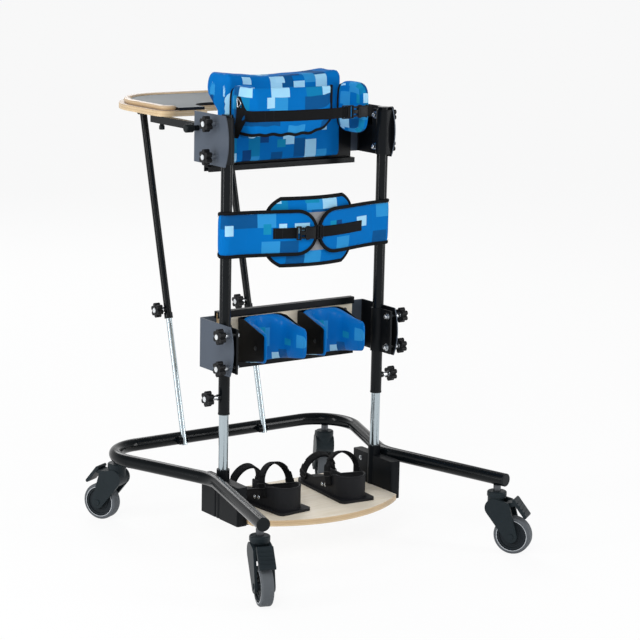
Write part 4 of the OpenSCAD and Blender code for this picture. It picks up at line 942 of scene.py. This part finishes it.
def flapLow(c, share):
    u = 2 * share - 1
    pucker = c["pucker"] * sin(share * c["folds"]) * smoothStep((share - 0.2) * 6)
    return c["low"] + c["rise"] * max(0.0, u) ** 5 + 10 * max(0.0, -u) ** 10 + pucker


def makeFlap(c):
    length = pathLength(flapPath)

    def pointAt(u, v, side):
        share = (u + 1) / 2
        swell = (1 - abs(u) ** 8) * (1 - v ** 4)
        p = onLine(flapPath, flapOut, share, side * (1.5 + (c["thick"] / 2 - 1.5) * swell))[0]
        low = flapLow(c, share)
        return (p.x, p.y, low + (c["top"] - low) * (v + 1) / 2)

    def flatAt(u, v):
        return ((u + 1) / 2 * length + 140, c["low"] + (c["top"] - c["low"]) * (v + 1) / 2)

    piece = pillow("chestFlap", pointAt, flatAt, c["steps"], c["rows"], finish["cover"])
    waiting.append((piece, c["swell"]))
    shares = [1 - i / 60 for i in range(61)]
    marks = [onLine(flapPath, flapOut, share, 0) for share in shares]
    p, n = marks[0]
    edge = [Vector((p.x + 0.5, p.y, c["top"] + (flapLow(c, 1) - c["top"]) * i / 16)) for i in range(16)]
    edge += [Vector((p.x, p.y, flapLow(c, share))) for (p, n), share in zip(marks, shares)]
    ways = [n] * 16 + [mark[1] for mark in marks]
    return piece, sweepPiece("flapBinding", edge, ways, roundSection(*c["binding"]), finish["binding"])


gusset = {"top": 1188.0, "tall": 108.0, "rows": 12, "cols": 8, "off": 1.6, "thick": 0.0018,
          "front": 30.0, "frontLean": 16.0, "frontBow": 4.2, "rear": 8.0, "rearIn": 34.0, "rearOut": 46.0,
          "ring": [(24, 1186), (4, 1171), (22, 1158)], "ringOff": 4.2, "wire": 3.0, "bend": 0.22}


def makeGusset(c, f):  # black gusset on the flap's outer side
    rows = c["rows"]
    cols = c["cols"]
    points = []
    for t in [i / rows for i in range(rows + 1)]:
        left = c["front"] + c["frontLean"] * t - c["frontBow"] * sin(pi * t)
        right = c["rear"] - c["rearIn"] * smoothStep(t * 2.2) + c["rearOut"] * smoothStep((t - 0.35) * 1.5)
        for j in range(cols + 1):
            y = left + (right - left) * j / cols
            x = f["side"] - f["thick"] / 2 - c["off"] + 0.5 * sin(t * 17 + j)
            back = f["rear"] + f["turn"] - y
            if back > 0:
                x += f["turn"] - sqrt(max(0.0, f["turn"] ** 2 - back * back))
            points.append((x, y, c["top"] - c["tall"] * t))
    faces = []
    uvs = []
    for i in range(rows):
        for j in range(cols):
            cell = [(i, j), (i, j + 1), (i + 1, j + 1), (i + 1, j)]
            faces.append(tuple(a * (cols + 1) + b for a, b in cell))
            uvs.append([(b * 6.0, a * 9.0) for a, b in cell])
    patch = makePiece("flapGusset", points, faces, finish["binding"], uvs, closed=False)
    cloth = patch.modifiers.new("cloth", "SOLIDIFY")
    cloth.thickness = c["thick"]
    cloth.offset = 0
    refine(patch)
    return patch


def makeFlapRing(c, f):  # bent wire ring at the gusset's top
    x = f["side"] - f["thick"] / 2 - c["ringOff"]
    corners = [Vector((x, y, z)) for y, z in c["ring"]]
    bend = c["bend"]
    loop = []
    for i, a in enumerate(corners):
        b = corners[(i + 1) % 3]
        one = a.lerp(corners[i - 1], bend)
        two = a.lerp(b, bend)
        loop += [one.lerp(a, t).lerp(a.lerp(two, t), t) for t in (0, 0.25, 0.5, 0.75, 1)]
        loop += [a.lerp(b, bend + (1 - 2 * bend) * t) for t in (0.25, 0.5, 0.75)]
    return loopPiece("flapRing", loop, Vector((-1, 0, 0)), wireSection(c["wire"]), finish["zinc"])


def sideRelease(name, origin, turn, wide, high, thick):  # socket, tongue and prongs of a side release buckle
    w = wide / 2
    t = thick
    parts = [
        ((w * 0.42, 0, 0), (w * 0.98, t, high * 0.86), 2.6),
        ((w * 0.42, -t * 0.5, 0), (w * 0.6, 1.6, high * 0.5), 0.7),
        ((w * 0.95, 0, 0), (3.4, t * 0.62, high), 1.4),
        ((-w * 0.28, 0, 0), (w * 0.5, t * 0.66, high * 0.3), 1.6),
        ((-w * 0.58, 0, 0), (3.2, t * 0.7, high), 1.4),
        ((-w * 0.94, 0, 0), (3.4, t * 0.55, high), 1.4)]
    for s in (1, -1):
        parts.append(((w * 0.2, 0, s * high * 0.4), (w * 0.34, t * 0.6, high * 0.2), 2.0))
        parts.append(((-w * 0.3, 0, s * high * 0.33), (w * 0.62, t * 0.5, high * 0.14), 1.5))
        parts.append(((-w * 0.76, 0, s * high * 0.46), (w * 0.42, t * 0.55, 2.8), 1.2))
    return blockPiece(name, parts, finish["buckle"], origin, turn)


def ladderLock(name, origin, wide, high, thick):  # frame with a middle bar
    parts = [((0, -thick * 0.25, 0), (3.0, thick * 0.8, high - 3), 1.2)]
    for s in (-1, 1):
        parts.append(((s * (wide / 2 - 1.4), 0, 0), (2.8, thick * 0.7, high), 1.2))
        parts.append(((0, 0, s * (high / 2 - 1.4)), (wide, thick * 0.7, 2.8), 1.2))
    return blockPiece(name, parts, finish["buckle"], origin, 0.0)


chestStrap = {"z": 1141.0, "wide": 28.0, "thick": 1.8, "buckle": 136.0, "line": -34.5,
              "side": 188.6, "rear": -27.4, "turn": 13.0, "end": 52.0, "catchSize": (58, 34, 12),
              "lockSize": (20, 35, 8)}


def makeChestStrap(c, f):
    off = f["thick"] / 2 + 2.4
    x = c["buckle"]
    y = c["line"]
    lift = Vector((0, 0, c["z"]))
    left = [onLine(flapPath, flapOut, 0.2 + 0.8 * i / 40, off)[0] for i in range(41)]
    left = [p + lift for p in left] + plan([(x - 42, y - 1.5), (x - 24, y - 1.0)], c["z"])
    bend = (c["side"] - c["turn"], c["rear"] + c["turn"])
    right = [(x + 22, y), (bend[0], c["rear"])] + arc(bend, c["turn"], -90, 0, 10) + [(c["side"], c["end"])]
    straps = [webStrip("chestWebbingLeft", left, 5, c["wide"], c["thick"]),
              webStrip("chestWebbingRight", plan(right, c["z"]), 5, c["wide"], c["thick"])]
    for start in (x - 46, x - 53, x - 60):  # spare webbing rolled in front of the lock
        fold = plan([(start, y - 5.2), (start + 6, y - 6.0)], c["z"])
        straps.append(webStrip("fold", fold, 2, c["wide"] - 1, 2.4))
    catch = sideRelease("chestBuckle", (x, y, c["z"]), 0.0, *c["catchSize"])
    lock = ladderLock("chestLadderLock", (x - 41, y - 1.2, c["z"]), *c["lockSize"])
    ends = [onLine(flapPath, flapOut, share, off + 1.1)[0] for share in (0.36, 0.44)]
    thread = stitches("chestStrapThread", [seamAcross(p.x, p.y, c["z"]) for p in ends], strapSeam)
    return joinPieces("chestWebbing", straps), joinPieces("chestBuckles", [catch, lock]), thread


cushion = makeChestCushion(chestCushion)
sidePads = makeLaterals(lateral)
flapPiece, flapTape = makeFlap(flap)
patch = makeGusset(gusset, flap)
ringPiece = makeFlapRing(gusset, flap)
webbing, clips, strapThread = makeChestStrap(chestStrap, flap)
piping = makeLateralPiping(lateral)
print("chest support made")


# pelvic support

pelvic = {"z": 840.0, "reach": 245.0, "half": 56.0, "loop": 18.3, "bulge": 50.0, "gap": 4.0, "thick": 6.4,
          "tail": 60.0, "tailIn": 12.0, "steps": 84, "rows": 12, "binding": (9.0, 7.4, 3.0), "shift": -8.0,
          "printStep": 742.0, "padHalf": 134.0, "padTaper": 40.0, "padHigh": 87.0, "padThick": 20.0,
          "padOff": 14.3, "padBinding": (10.0, 7.5, 3.0),
          "seam": {"stitch": 2.4, "pitch": 3.4, "thick": 0.7},
          "swell": {"pressure": 3.0, "cap": 1.4, "bend": 0.5},
          "padSwell": {"pressure": 4.0, "cap": 2.5, "bend": 0.6}}


def beltY(c, x):
    return -c["loop"] - c["bulge"] * cos(pi / 2 * min(abs(x), c["reach"]) / c["reach"]) ** 2


def beltLine(c, side):
    gap = c["gap"] + side * c["shift"]
    xs = [gap + (c["reach"] - gap) * i / 40 for i in range(41)]
    line = [(x, beltY(c, x)) for x in xs] + arc((c["reach"], 0), c["loop"], -90, 90, 16)[1:]
    return spread(plan(line + [(c["reach"] - c["tail"], c["loop"])]), 3.0)


def beltHalf(c, far, length):  # the inner end is a half round, the tail behind the upright is narrower
    r = c["half"]
    if far < r:
        return sqrt(max(0.0, r * r - (r - far) ** 2))
    return r - c["tailIn"] * smoothStep((far - length + 95) / 45)


def makeWing(c, side, name):
    path = beltLine(c, side)
    outs = planNormals(path)
    length = pathLength(path)

    def lengthAt(u):
        share = (u + 1) / 2
        return (share * share * 0.35 + share * 0.65) * length

    def placeAt(far, off, high):
        p, out = onLine(path, outs, far / length, off)
        return Vector((p.x * side, p.y, c["z"] + high)), Vector((out.x * side, out.y, 0))

    def pointAt(u, v, face):
        far = lengthAt(u)
        swell = (1 - abs(u) ** 10) * (1 - v ** 6)
        off = face * (0.8 + (c["thick"] / 2 - 0.8) * swell)
        return placeAt(far, off, v * beltHalf(c, max(far, 0.4), length))[0]

    def flatAt(u, v):
        far = lengthAt(u)
        return (far + (c["printStep"] if side > 0 else 0), c["half"] + v * beltHalf(c, far, length))

    piece = pillow("pelvicWing_" + name, pointAt, flatAt, c["steps"], c["rows"], finish["cover"])
    waiting.append((piece, c["swell"]))
    fars = [length * (1 - i / 60) for i in range(60)]
    near = [c["half"] * (1 - cos(pi / 2 * k / 14)) for k in range(14, -1, -1)]
    fars = [far for far in fars if far > c["half"] + 2] + near
    line = [(far, 1) for far in fars] + [(far, -1) for far in reversed(fars[:-1])]
    edge = []
    ways = []
    seam = []
    for far, sign in line:
        high = beltHalf(c, far, length)
        p, out = placeAt(far, 0, high * sign)
        edge.append(p)
        ways.append(out)
        seam.append(placeAt(max(far, 7.0), c["thick"] / 2 + 0.9, max(0.0, high - 5.6) * sign)[0])
    tape = sweepPiece("binding", edge, ways, roundSection(*c["binding"]), finish["binding"])
    return piece, tape, seam


def padHalf(c, v):
    return c["padHalf"] - c["padTaper"] * abs(v) ** 4


def makePelvicPad(c):
    def pointAt(u, v, side):
        x = padHalf(c, v) * u + c["shift"]
        crown = 1.0 + (c["padThick"] / 2 - 1.0) * ((1 - u ** 6) * (1 - v ** 6)) ** 0.6
        return Vector((x, beltY(c, x) + c["padOff"] + side * crown, c["z"] + v * c["padHigh"]))

    def flatAt(u, v):
        return (c["padHalf"] + padHalf(c, v) * u, c["padHigh"] * (1 + v))

    piece = pillow("pelvicCushion", pointAt, flatAt, 44, 30, plushPanel(plush))
    waiting.append((piece, c["padSwell"]))
    along = [2 * i / 40 - 1 for i in range(40)]
    up = [2 * i / 30 - 1 for i in range(30)]
    loop = [(t, 1) for t in along] + [(1, -t) for t in up] + [(-t, -1) for t in along] + [(-1, t) for t in up]
    line = [pointAt(u, v, 0) for u, v in loop]
    tape = loopPiece("binding", line, Vector((0, -1, 0)), roundSection(*c["padBinding"]), finish["binding"])
    return piece, tape


pelvicStrap = {"wide": 28.0, "thick": 1.8, "left": -130.0, "right": 152.0, "buckle": -48.0, "lock": -6.0,
               "catchSize": (52, 36, 11), "lockSize": (18, 36, 7)}


def makePelvicStrap(c, b):
    off = b["thick"] / 2 + 1.8
    buckleY = beltY(b, c["buckle"])
    lockY = beltY(b, c["lock"])

    def onBelt(start, end):
        xs = [start + (end - start) * i / 30 for i in range(31)]
        path = plan([(x, beltY(b, x)) for x in xs], b["z"])
        return [p + n * off for p, n in zip(path, planNormals(path))]

    link = plan([(c["buckle"] + 14, buckleY - 8.5), (c["lock"] + 2, lockY - 7.5)], b["z"])
    lines = [(onBelt(c["left"], c["buckle"] - 18), 4), (onBelt(c["lock"] - 4, c["right"]), 4), (link, 3)]
    strips = [webStrip("strip", line, step, c["wide"], c["thick"]) for line, step in lines]
    slope = atan2(b["bulge"] * sin(pi * c["buckle"] / b["reach"]) * pi / (2 * b["reach"]), 1)
    catch = sideRelease("pelvicBuckle", (c["buckle"], buckleY - 9.6, b["z"]), slope, *c["catchSize"])
    lock = ladderLock("pelvicLadderLock", (c["lock"], lockY - 7.6, b["z"]), *c["lockSize"])
    ends = (c["left"] + 4, c["left"] + 22, c["right"] - 4, c["right"] - 22)
    rows = [seamAcross(x, beltY(b, x) - off - 1.2, b["z"]) for x in ends]
    thread = stitches("pelvicStrapThread", rows, strapSeam)
    return joinPieces("pelvicWebbing", strips), joinPieces("pelvicBuckles", [catch, lock]), thread


wings, tapes, seams = [list(made) for made in zip(*[makeWing(pelvic, side, name) for side, name in sides])]
pelvicCushion, padTape = makePelvicPad(pelvic)
pelvicBinding = joinPieces("pelvicBinding", tapes + [padTape])
pelvicThread = stitches("pelvicThread", seams, pelvic["seam"])
pelvicWebbing, pelvicClips, pelvicStrapThread = makePelvicStrap(pelvicStrap, pelvic)
print("pelvic support made")


# knee cups

kneeCup = {"x": 94.0, "z": 545.0, "outer": 64.5, "inner": 44.7, "centre": 6.0, "tip": -51.0, "back": 58.0,
           "flare": 11.0, "flareDeep": 44.0, "half": 62.0, "drop": 24.0, "rise": 20.0, "power": 3.4,
           "outerPower": 7.0, "capLow": 22.0, "caps": ((0.3, 11.0), (0.62, 9.0), (0.84, 5.6), (0.96, 2.4)),
           "wall": 64.6, "walls": [(1, -63, 70.6), (2, 482, 608)],
           "swell": {"pressure": 4.0, "cap": 2.0, "bend": 2.0}}


def cupRing(c, inner, outer, shrink):
    mid = (inner + outer) / 2
    half = (outer - inner) / 2
    share = min(1.0, max(0.0, (mid.y - c["tip"]) / (c["back"] - c["tip"])))
    high = c["z"] + c["half"] - c["drop"] * (1 - share)
    low = c["z"] - c["half"] + c["rise"] * (1 - share)
    tall = (high - low) / 2 - c["capLow"] * (1 - shrink)
    ring = []
    for a, b in bows(28, c["power"]):
        flat = mid + half * (a * shrink)
        ring.append(Vector((flat.x, flat.y, (high + low) / 2 + b * tall)))
    return ring


def makeKneePad(c, side, name):
    arm = []
    for i in range(13):
        y = c["tip"] + (c["centre"] - c["tip"]) * i / 13
        flare = c["flare"] * max(0.0, 1 - (y - c["tip"]) / c["flareDeep"]) ** 2
        arm.append(((c["inner"] + flare, y), (c["outer"], y)))
    pairs = list(arm)
    for turn in [pi * i / 24 for i in range(25)]:
        a, b = bow(turn, c["outerPower"])
        pairs.append(((c["inner"] * cos(turn), c["centre"] + c["inner"] * sin(turn)),
                      (c["outer"] * a, c["centre"] + c["outer"] * b)))
    pairs += [((-inner[0], inner[1]), (-outer[0], outer[1])) for inner, outer in reversed(arm)]
    pairs = [plan(pair) for pair in pairs]
    rings = [cupRing(c, inner, outer, 1.0) for inner, outer in pairs]
    for shrink, out in reversed(c["caps"]):  # rounded ends of the two arms
        shift = Vector((0, -out, 0))
        ends = [[p + shift for p in pair] for pair in (pairs[0], pairs[-1])]
        first, last = [cupRing(c, inner, outer, shrink) for inner, outer in ends]
        rings = [first] + rings + [last]
    x = side * c["x"]
    rings = [[p + Vector((x, 0, 0)) for p in ring] for ring in rings]
    piece = skin("kneeCushion_" + name, rings, finish["vinyl"])
    waiting.append((piece, dict(c["swell"], walls=[(0, x - c["wall"], x + c["wall"])] + c["walls"])))
    return piece


kneePads = [makeKneePad(kneeCup, side, name) for side, name in sides]
print("knee cups made")


# sandals

sandal = {"x": 112.0, "y": 2.0, "z": 113.03, "turn": 5.0, "heelY": -82.0, "heelR": 43.0, "wallFront": 103.0,
          "wallHigh": 58.0, "wallDrop": 34.0, "slope": 32.7, "sole": 7.0, "web": 27.0, "lay": 2.3,
          "rim": (6.2, 5.0, 2.4),
          "bands": [(-44.0, 60.0, -14.0, 37.0), (83.0, 27.0, 12.0, 17.0)], "loop": (16.5, 6.5, 3.4),
          "rivets": [(-28, 26), (-12, 24), (85, 20)], "rivet": (3.6, 1.8, 16)}


def footPlace(c, side, p):
    turn = radians(-c["turn"])
    x = p[0] * cos(turn) - p[1] * sin(turn)
    y = p[0] * sin(turn) + p[1] * cos(turn)
    return Vector((side * (c["x"] + x), c["y"] + y, c["z"] + p[2]))


def footWay(c, side, n):
    return (footPlace(c, side, n) - footPlace(c, side, (0, 0, 0))).normalized()


def makeSandalStraps(c, side):
    parts = []
    lay = c["heelR"] + c["lay"]
    wide, tall, wire = c["loop"]
    for y, up, tilt, leg in c["bands"]:
        arch = [Vector((lay, 0, -leg * (1 - i / 6))) for i in range(6)]
        ways = [Vector((1, 0, 0))] * 6
        for t in [pi * i / 24 for i in range(25)]:
            arch.append(Vector((lay * cos(t), 0, lay * sin(t) * (1 + 0.05 * sin(t) ** 2))))
            ways.append(Vector((cos(t), 0, sin(t))))
        arch += [Vector((-lay, 0, -leg * i / 6)) for i in range(1, 7)]
        ways += [Vector((-1, 0, 0))] * 6
        lean = Matrix.Rotation(radians(tilt), 3, "X")
        base = Vector((0, y, c["sole"] + up))
        line = [footPlace(c, side, lean @ p + base) for p in arch]
        outs = [footWay(c, side, lean @ n) for n in ways]
        parts.append(sweepPiece("band", line, outs, tapeSection(c["web"], 2.4), finish["webbing"]))
        # hook and loop end folded over the top, and the sewn end on one wall
        for first, last, off, wider, thick in ((9, 26, 2.6, -1.5, 2.2), (27, 37, 2.5, 2.0, 2.0)):
            over = [p + n * off for p, n in zip(line[first:last], outs[first:last])]
            section = tapeSection(c["web"] + wider, thick)
            parts.append(sweepPiece("band", over, outs[first:last], section, finish["binding"]))
        for k in (5, 31):  # wire loops where the band meets the walls
            out = outs[k]
            way = (line[k + 1] - line[k - 1]).normalized()
            across = way.cross(out)
            middle = line[k] + out * 2.2
            loop = [middle + across * (wide * a) + way * (tall * b) for a, b in bows(24, 5)]
            parts.append(loopPiece("loop", loop, out, wireSection(wire), finish["buckle"]))
    return parts


def makeSandalRim(c, side):  # soft bead on the heel cup's edge
    r = c["heelR"] - 2
    high = c["sole"] + c["wallHigh"]
    low = high - c["wallDrop"]
    line = [(r, c["wallFront"] - 2, low)]
    line += [(r, c["wallFront"] - (c["wallFront"] - c["slope"]) * i / 8, low) for i in range(1, 9)]
    for t in [i / 10 for i in range(1, 11)]:
        line.append((r, c["slope"] - (c["slope"] - c["heelY"]) * t, low + (high - low) * t))
    line += [(r * cos(-pi * i / 20), c["heelY"] + r * sin(-pi * i / 20), high) for i in range(1, 20)]
    line += [(-x, y, z) for x, y, z in reversed(line[:19])]
    path = [footPlace(c, side, p) for p in line]
    ways = [Vector((0, 0, 1))] * len(path)
    return sweepPiece("rim", path, ways, roundSection(*c["rim"]), finish["leather"])


bands = []
rims = []
eyelets = []
for side in (-1, 1):
    bands += makeSandalStraps(sandal, side)
    rims.append(makeSandalRim(sandal, side))
    for wall in (-1, 1):
        way = footWay(sandal, side, (wall, 0, 0))
        for y, z in sandal["rivets"]:
            eyelets.append((footPlace(sandal, side, (wall * sandal["heelR"], y, z)), way))
sandalBands = joinPieces("sandalBands", bands)
sandalRims = joinPieces("sandalRims", rims)
sandalRivets = screws("sandalRivets", eyelets, finish["zinc"], *sandal["rivet"])
print("sandals made")


# tray rim, three rounded wooden strips

trayRim = {"half": 270.0, "rear": 278.0, "front": 645.0, "corner": 190.0, "rearCorner": 42.0, "inset": 23.0,
           "horn": 217.0, "wide": 18.0, "high": 13.0, "z": 1127.0, "gapTurn": 42.0, "gap": 14.0}


def makeTrayRim(c):
    r = c["corner"] - c["inset"]
    rightBend = (c["half"] - c["corner"], c["front"] - c["corner"])
    leftBend = (-rightBend[0], rightBend[1])
    rearBend = (c["rearCorner"] - c["half"], c["rear"] + c["rearCorner"])
    slack = c["gap"] / 2 / r * 180 / pi
    left = [(-c["horn"], c["rear"] + c["inset"])]
    left += arc(rearBend, c["rearCorner"] - c["inset"], 270, 180, 8)
    left += arc(leftBend, r, 180, 180 - c["gapTurn"] + slack, 16)
    front = arc(leftBend, r, 180 - c["gapTurn"] - slack, 90, 16)
    front += arc(rightBend, r, 90, c["gapTurn"] + slack, 16)
    strips = []
    for line in (left, front, [(-x, y) for x, y in left]):
        path = spread(plan(line, c["z"] + c["high"] / 2), 5)
        rings = sweepRings(path, [Vector((0, 0, 1))] * len(path), roundSection(c["wide"], c["high"], 4.0, 20))
        for ring, share in ((rings[0], 0.72), (rings[-1], 0.72), (rings[1], 0.96), (rings[-2], 0.96)):
            mid = sum(ring, Vector()) / len(ring)
            ring[:] = [mid + (p - mid) * share for p in ring]
        strips.append(skin("strip", rings, finish["rimPly"]))
    return joinPieces("trayRim", strips)


rimPiece = makeTrayRim(trayRim)
print("tray rim made")


# fasteners: places, then radius, height and flats of each kind

fastened = {"chestNuts": (242.0, 30.0, (1121, 1037)), "kneeNuts": (242.0, -46.0, (587, 503)),
            "hanger": (232.0, 44.0, (118, 176)), "boardX": (-190, 190), "boardY": 76.8, "boardZ": (502, 588),
            "shellOff": 68.0, "shellY": -18.0, "shellZ": 538.0,
            "nut": (7.0, 7.5), "boardScrew": (5.2, 2.4, 20), "shellScrew": (4.6, 1.8, 20),
            "hangerScrew": (4.2, 2.2)}


def inwardMarks(x, y, heights):  # places on both sides that face the middle
    return [(Vector((side * x, y, z)), Vector((-side, 0, 0))) for side in (-1, 1) for z in heights]


def boardMarks(c):
    return [(Vector((x, c["boardY"], z)), Vector((0, -1, 0))) for x in c["boardX"] for z in c["boardZ"]]


def shellMarks(c, cupX):
    places = [(cup * cupX + side * c["shellOff"], side) for cup in (-1, 1) for side in (-1, 1)]
    return [(Vector((x, c["shellY"], c["shellZ"])), Vector((side, 0, 0))) for x, side in places]


chestMarks = inwardMarks(*fastened["chestNuts"])
chestNuts = screws("capNuts_upper_frame", chestMarks, finish["zinc"], *fastened["nut"])
kneeMarks = inwardMarks(*fastened["kneeNuts"])
kneeNuts = screws("capNuts_knee_unit", kneeMarks, finish["zinc"], *fastened["nut"])
boardScrews = screws("kneeBoardScrews", boardMarks(fastened), finish["zinc"], *fastened["boardScrew"])
cupMarks = shellMarks(fastened, kneeCup["x"])
shellScrews = screws("cupShellScrews", cupMarks, finish["stem"], *fastened["shellScrew"])
hangerMarks = inwardMarks(*fastened["hanger"])
hangerScrews = screws("hangerScrews", hangerMarks, finish["zinc"], *fastened["hangerScrew"])
print("fasteners made")


# soft run and seating

puffFrames = 18
puffAll(puffFrames)
for piece in [cushion, flapPiece, pelvicCushion] + sidePads + wings + kneePads:
    refine(piece)

seat(cushion, "upper_frame", "blue_fabric", "chest_pad")
for pad in sidePads:
    seat(pad, "upper_frame", "blue_fabric", "chest_lateral_pads")
seat(flapPiece, "upper_frame", "blue_fabric", "chest_belt")
seat(flapTape, "upper_frame", "black_webbing")
seat(patch, "upper_frame", "black_webbing")
seat(ringPiece, "upper_frame", "zinc_steel")
seat(webbing, "upper_frame", "black_webbing", "chest_strap")
seat(clips, "upper_frame", "black_plastic", "chest_strap")
seat(strapThread, "upper_frame", "black_webbing")
seat(piping, "upper_frame", "black_webbing")
for wing in wings:
    seat(wing, "pelvic_unit", "blue_fabric", "pelvic_belt")
seat(pelvicCushion, "pelvic_unit", "blue_fabric", "pelvic_pad")
seat(pelvicBinding, "pelvic_unit", "black_webbing")
seat(pelvicThread, "pelvic_unit", "black_webbing")
seat(pelvicWebbing, "pelvic_unit", "black_webbing", "pelvic_strap")
seat(pelvicClips, "pelvic_unit", "black_plastic", "pelvic_strap")
seat(pelvicStrapThread, "pelvic_unit", "black_webbing")
for pad in kneePads:
    seat(pad, "knee_unit", "blue_fabric", "knee_pads")
seat(rimPiece, "upper_frame", "birch_ply", "tray_rim")
seat(sandalBands, "base", "black_webbing", "sandal_straps")
seat(sandalRims, "base", "sandal_leather")
seat(sandalRivets, "base", "zinc_steel")
seat(chestNuts, "upper_frame", "zinc_steel")
seat(kneeNuts, "knee_unit", "zinc_steel")
seat(boardScrews, "knee_unit", "zinc_steel")
seat(shellScrews, "knee_unit", "zinc_steel")
seat(hangerScrews, "base", "zinc_steel")
print("pieces seated")


# studio

lamps = {"key": (-3.0, -3.0, 3.5, 2.4, 2.4, 105.0), "back": (1.2, 4.2, 3.4, 2.6, 2.6, 80.0),
         "leftStrip": (-3.1, 0.2, 1.5, 0.5, 2.8, 42.0), "rightStrip": (2.3, -2.7, 1.5, 0.5, 2.8, 42.0)}


def lamp(name, x, y, z, wide, tall, power):
    data = bpy.data.lights.new(name, "AREA")
    data.shape = "DISK" if wide == tall else "RECTANGLE"
    data.size = wide
    data.size_y = tall
    data.energy = power
    light = bpy.data.objects.new(name, data)
    light.location = (x, y, z)
    aim = Vector((0, 0, 0.65 if wide == tall else z))
    light.rotation_euler = (aim - Vector((x, y, z))).to_track_quat("-Z", "Y").to_euler()
    scene.collection.objects.link(light)


for name, settings in lamps.items():
    lamp(name, *settings)


def mixShaders(tree, share, plain, seen, end):  # the camera, mirrors and glass get the second shader
    path = addNode(tree, "ShaderNodeLightPath").outputs
    rays = [Wire(tree, path[key]) for key in ("Is Camera Ray", "Is Glossy Ray", "Is Transmission Ray")]
    amount = (rays[0] + rays[1] + rays[2]).atMost(1.0) * share
    mix = addNode(tree, "ShaderNodeMixShader", Fac=amount, Shader=plain, Shader_001=seen)
    tree.links.new(mix.outputs[0], tree.nodes[end].inputs[0])


room = {"light": (0.95, 0.97, 1.0, 1.0), "strength": 0.42, "white": (1.0, 1.0, 1.0, 1.0), "dimFrom": 0.12,
        "dimOver": 0.5, "dim": 0.7, "floor": (0.93, 0.93, 0.93, 1.0), "floorSize": 160.0, "floorShare": 0.9}


def whiteRoom(c):
    world = bpy.data.worlds.new("paleRoom")
    world.use_nodes = True
    scene.world = world
    tree = world.node_tree
    lit = tree.nodes["Background"]
    lit.inputs["Color"].default_value = c["light"]
    lit.inputs["Strength"].default_value = c["strength"]
    way = addNode(tree, "ShaderNodeTexCoord").outputs["Generated"]
    rise = Wire(tree, addNode(tree, "ShaderNodeSeparateXYZ", Vector=way).outputs[2])
    climb = ((rise - c["dimFrom"]) / c["dimOver"]).atLeast(0.0).atMost(1.0)
    # white near the floor, dim overhead
    seen = addNode(tree, "ShaderNodeBackground", Color=c["white"], Strength=1 - climb * c["dim"])
    mixShaders(tree, 1.0, lit.outputs[0], seen.outputs[0], "World Output")


def paleFloor(c):
    s = c["floorSize"] / 2
    mesh = bpy.data.meshes.new("paleFloor")
    mesh.from_pydata([(-s, -s, 0), (s, -s, 0), (s, s, 0), (-s, s, 0)], [], [(0, 1, 2, 3)])
    f = Finish("paleFloor", Roughness=0.8, Specular_IOR_Level=0.1, Base_Color=c["floor"])
    glow = f.node("Emission", None, Color=c["white"], Strength=1.0)
    mixShaders(f.tree, c["floorShare"], f.shader.outputs[0], glow, "Material Output")
    stand("paleFloor", mesh, f.mat)


whiteRoom(room)
paleFloor(room)
scene.view_settings.view_transform = "Standard"
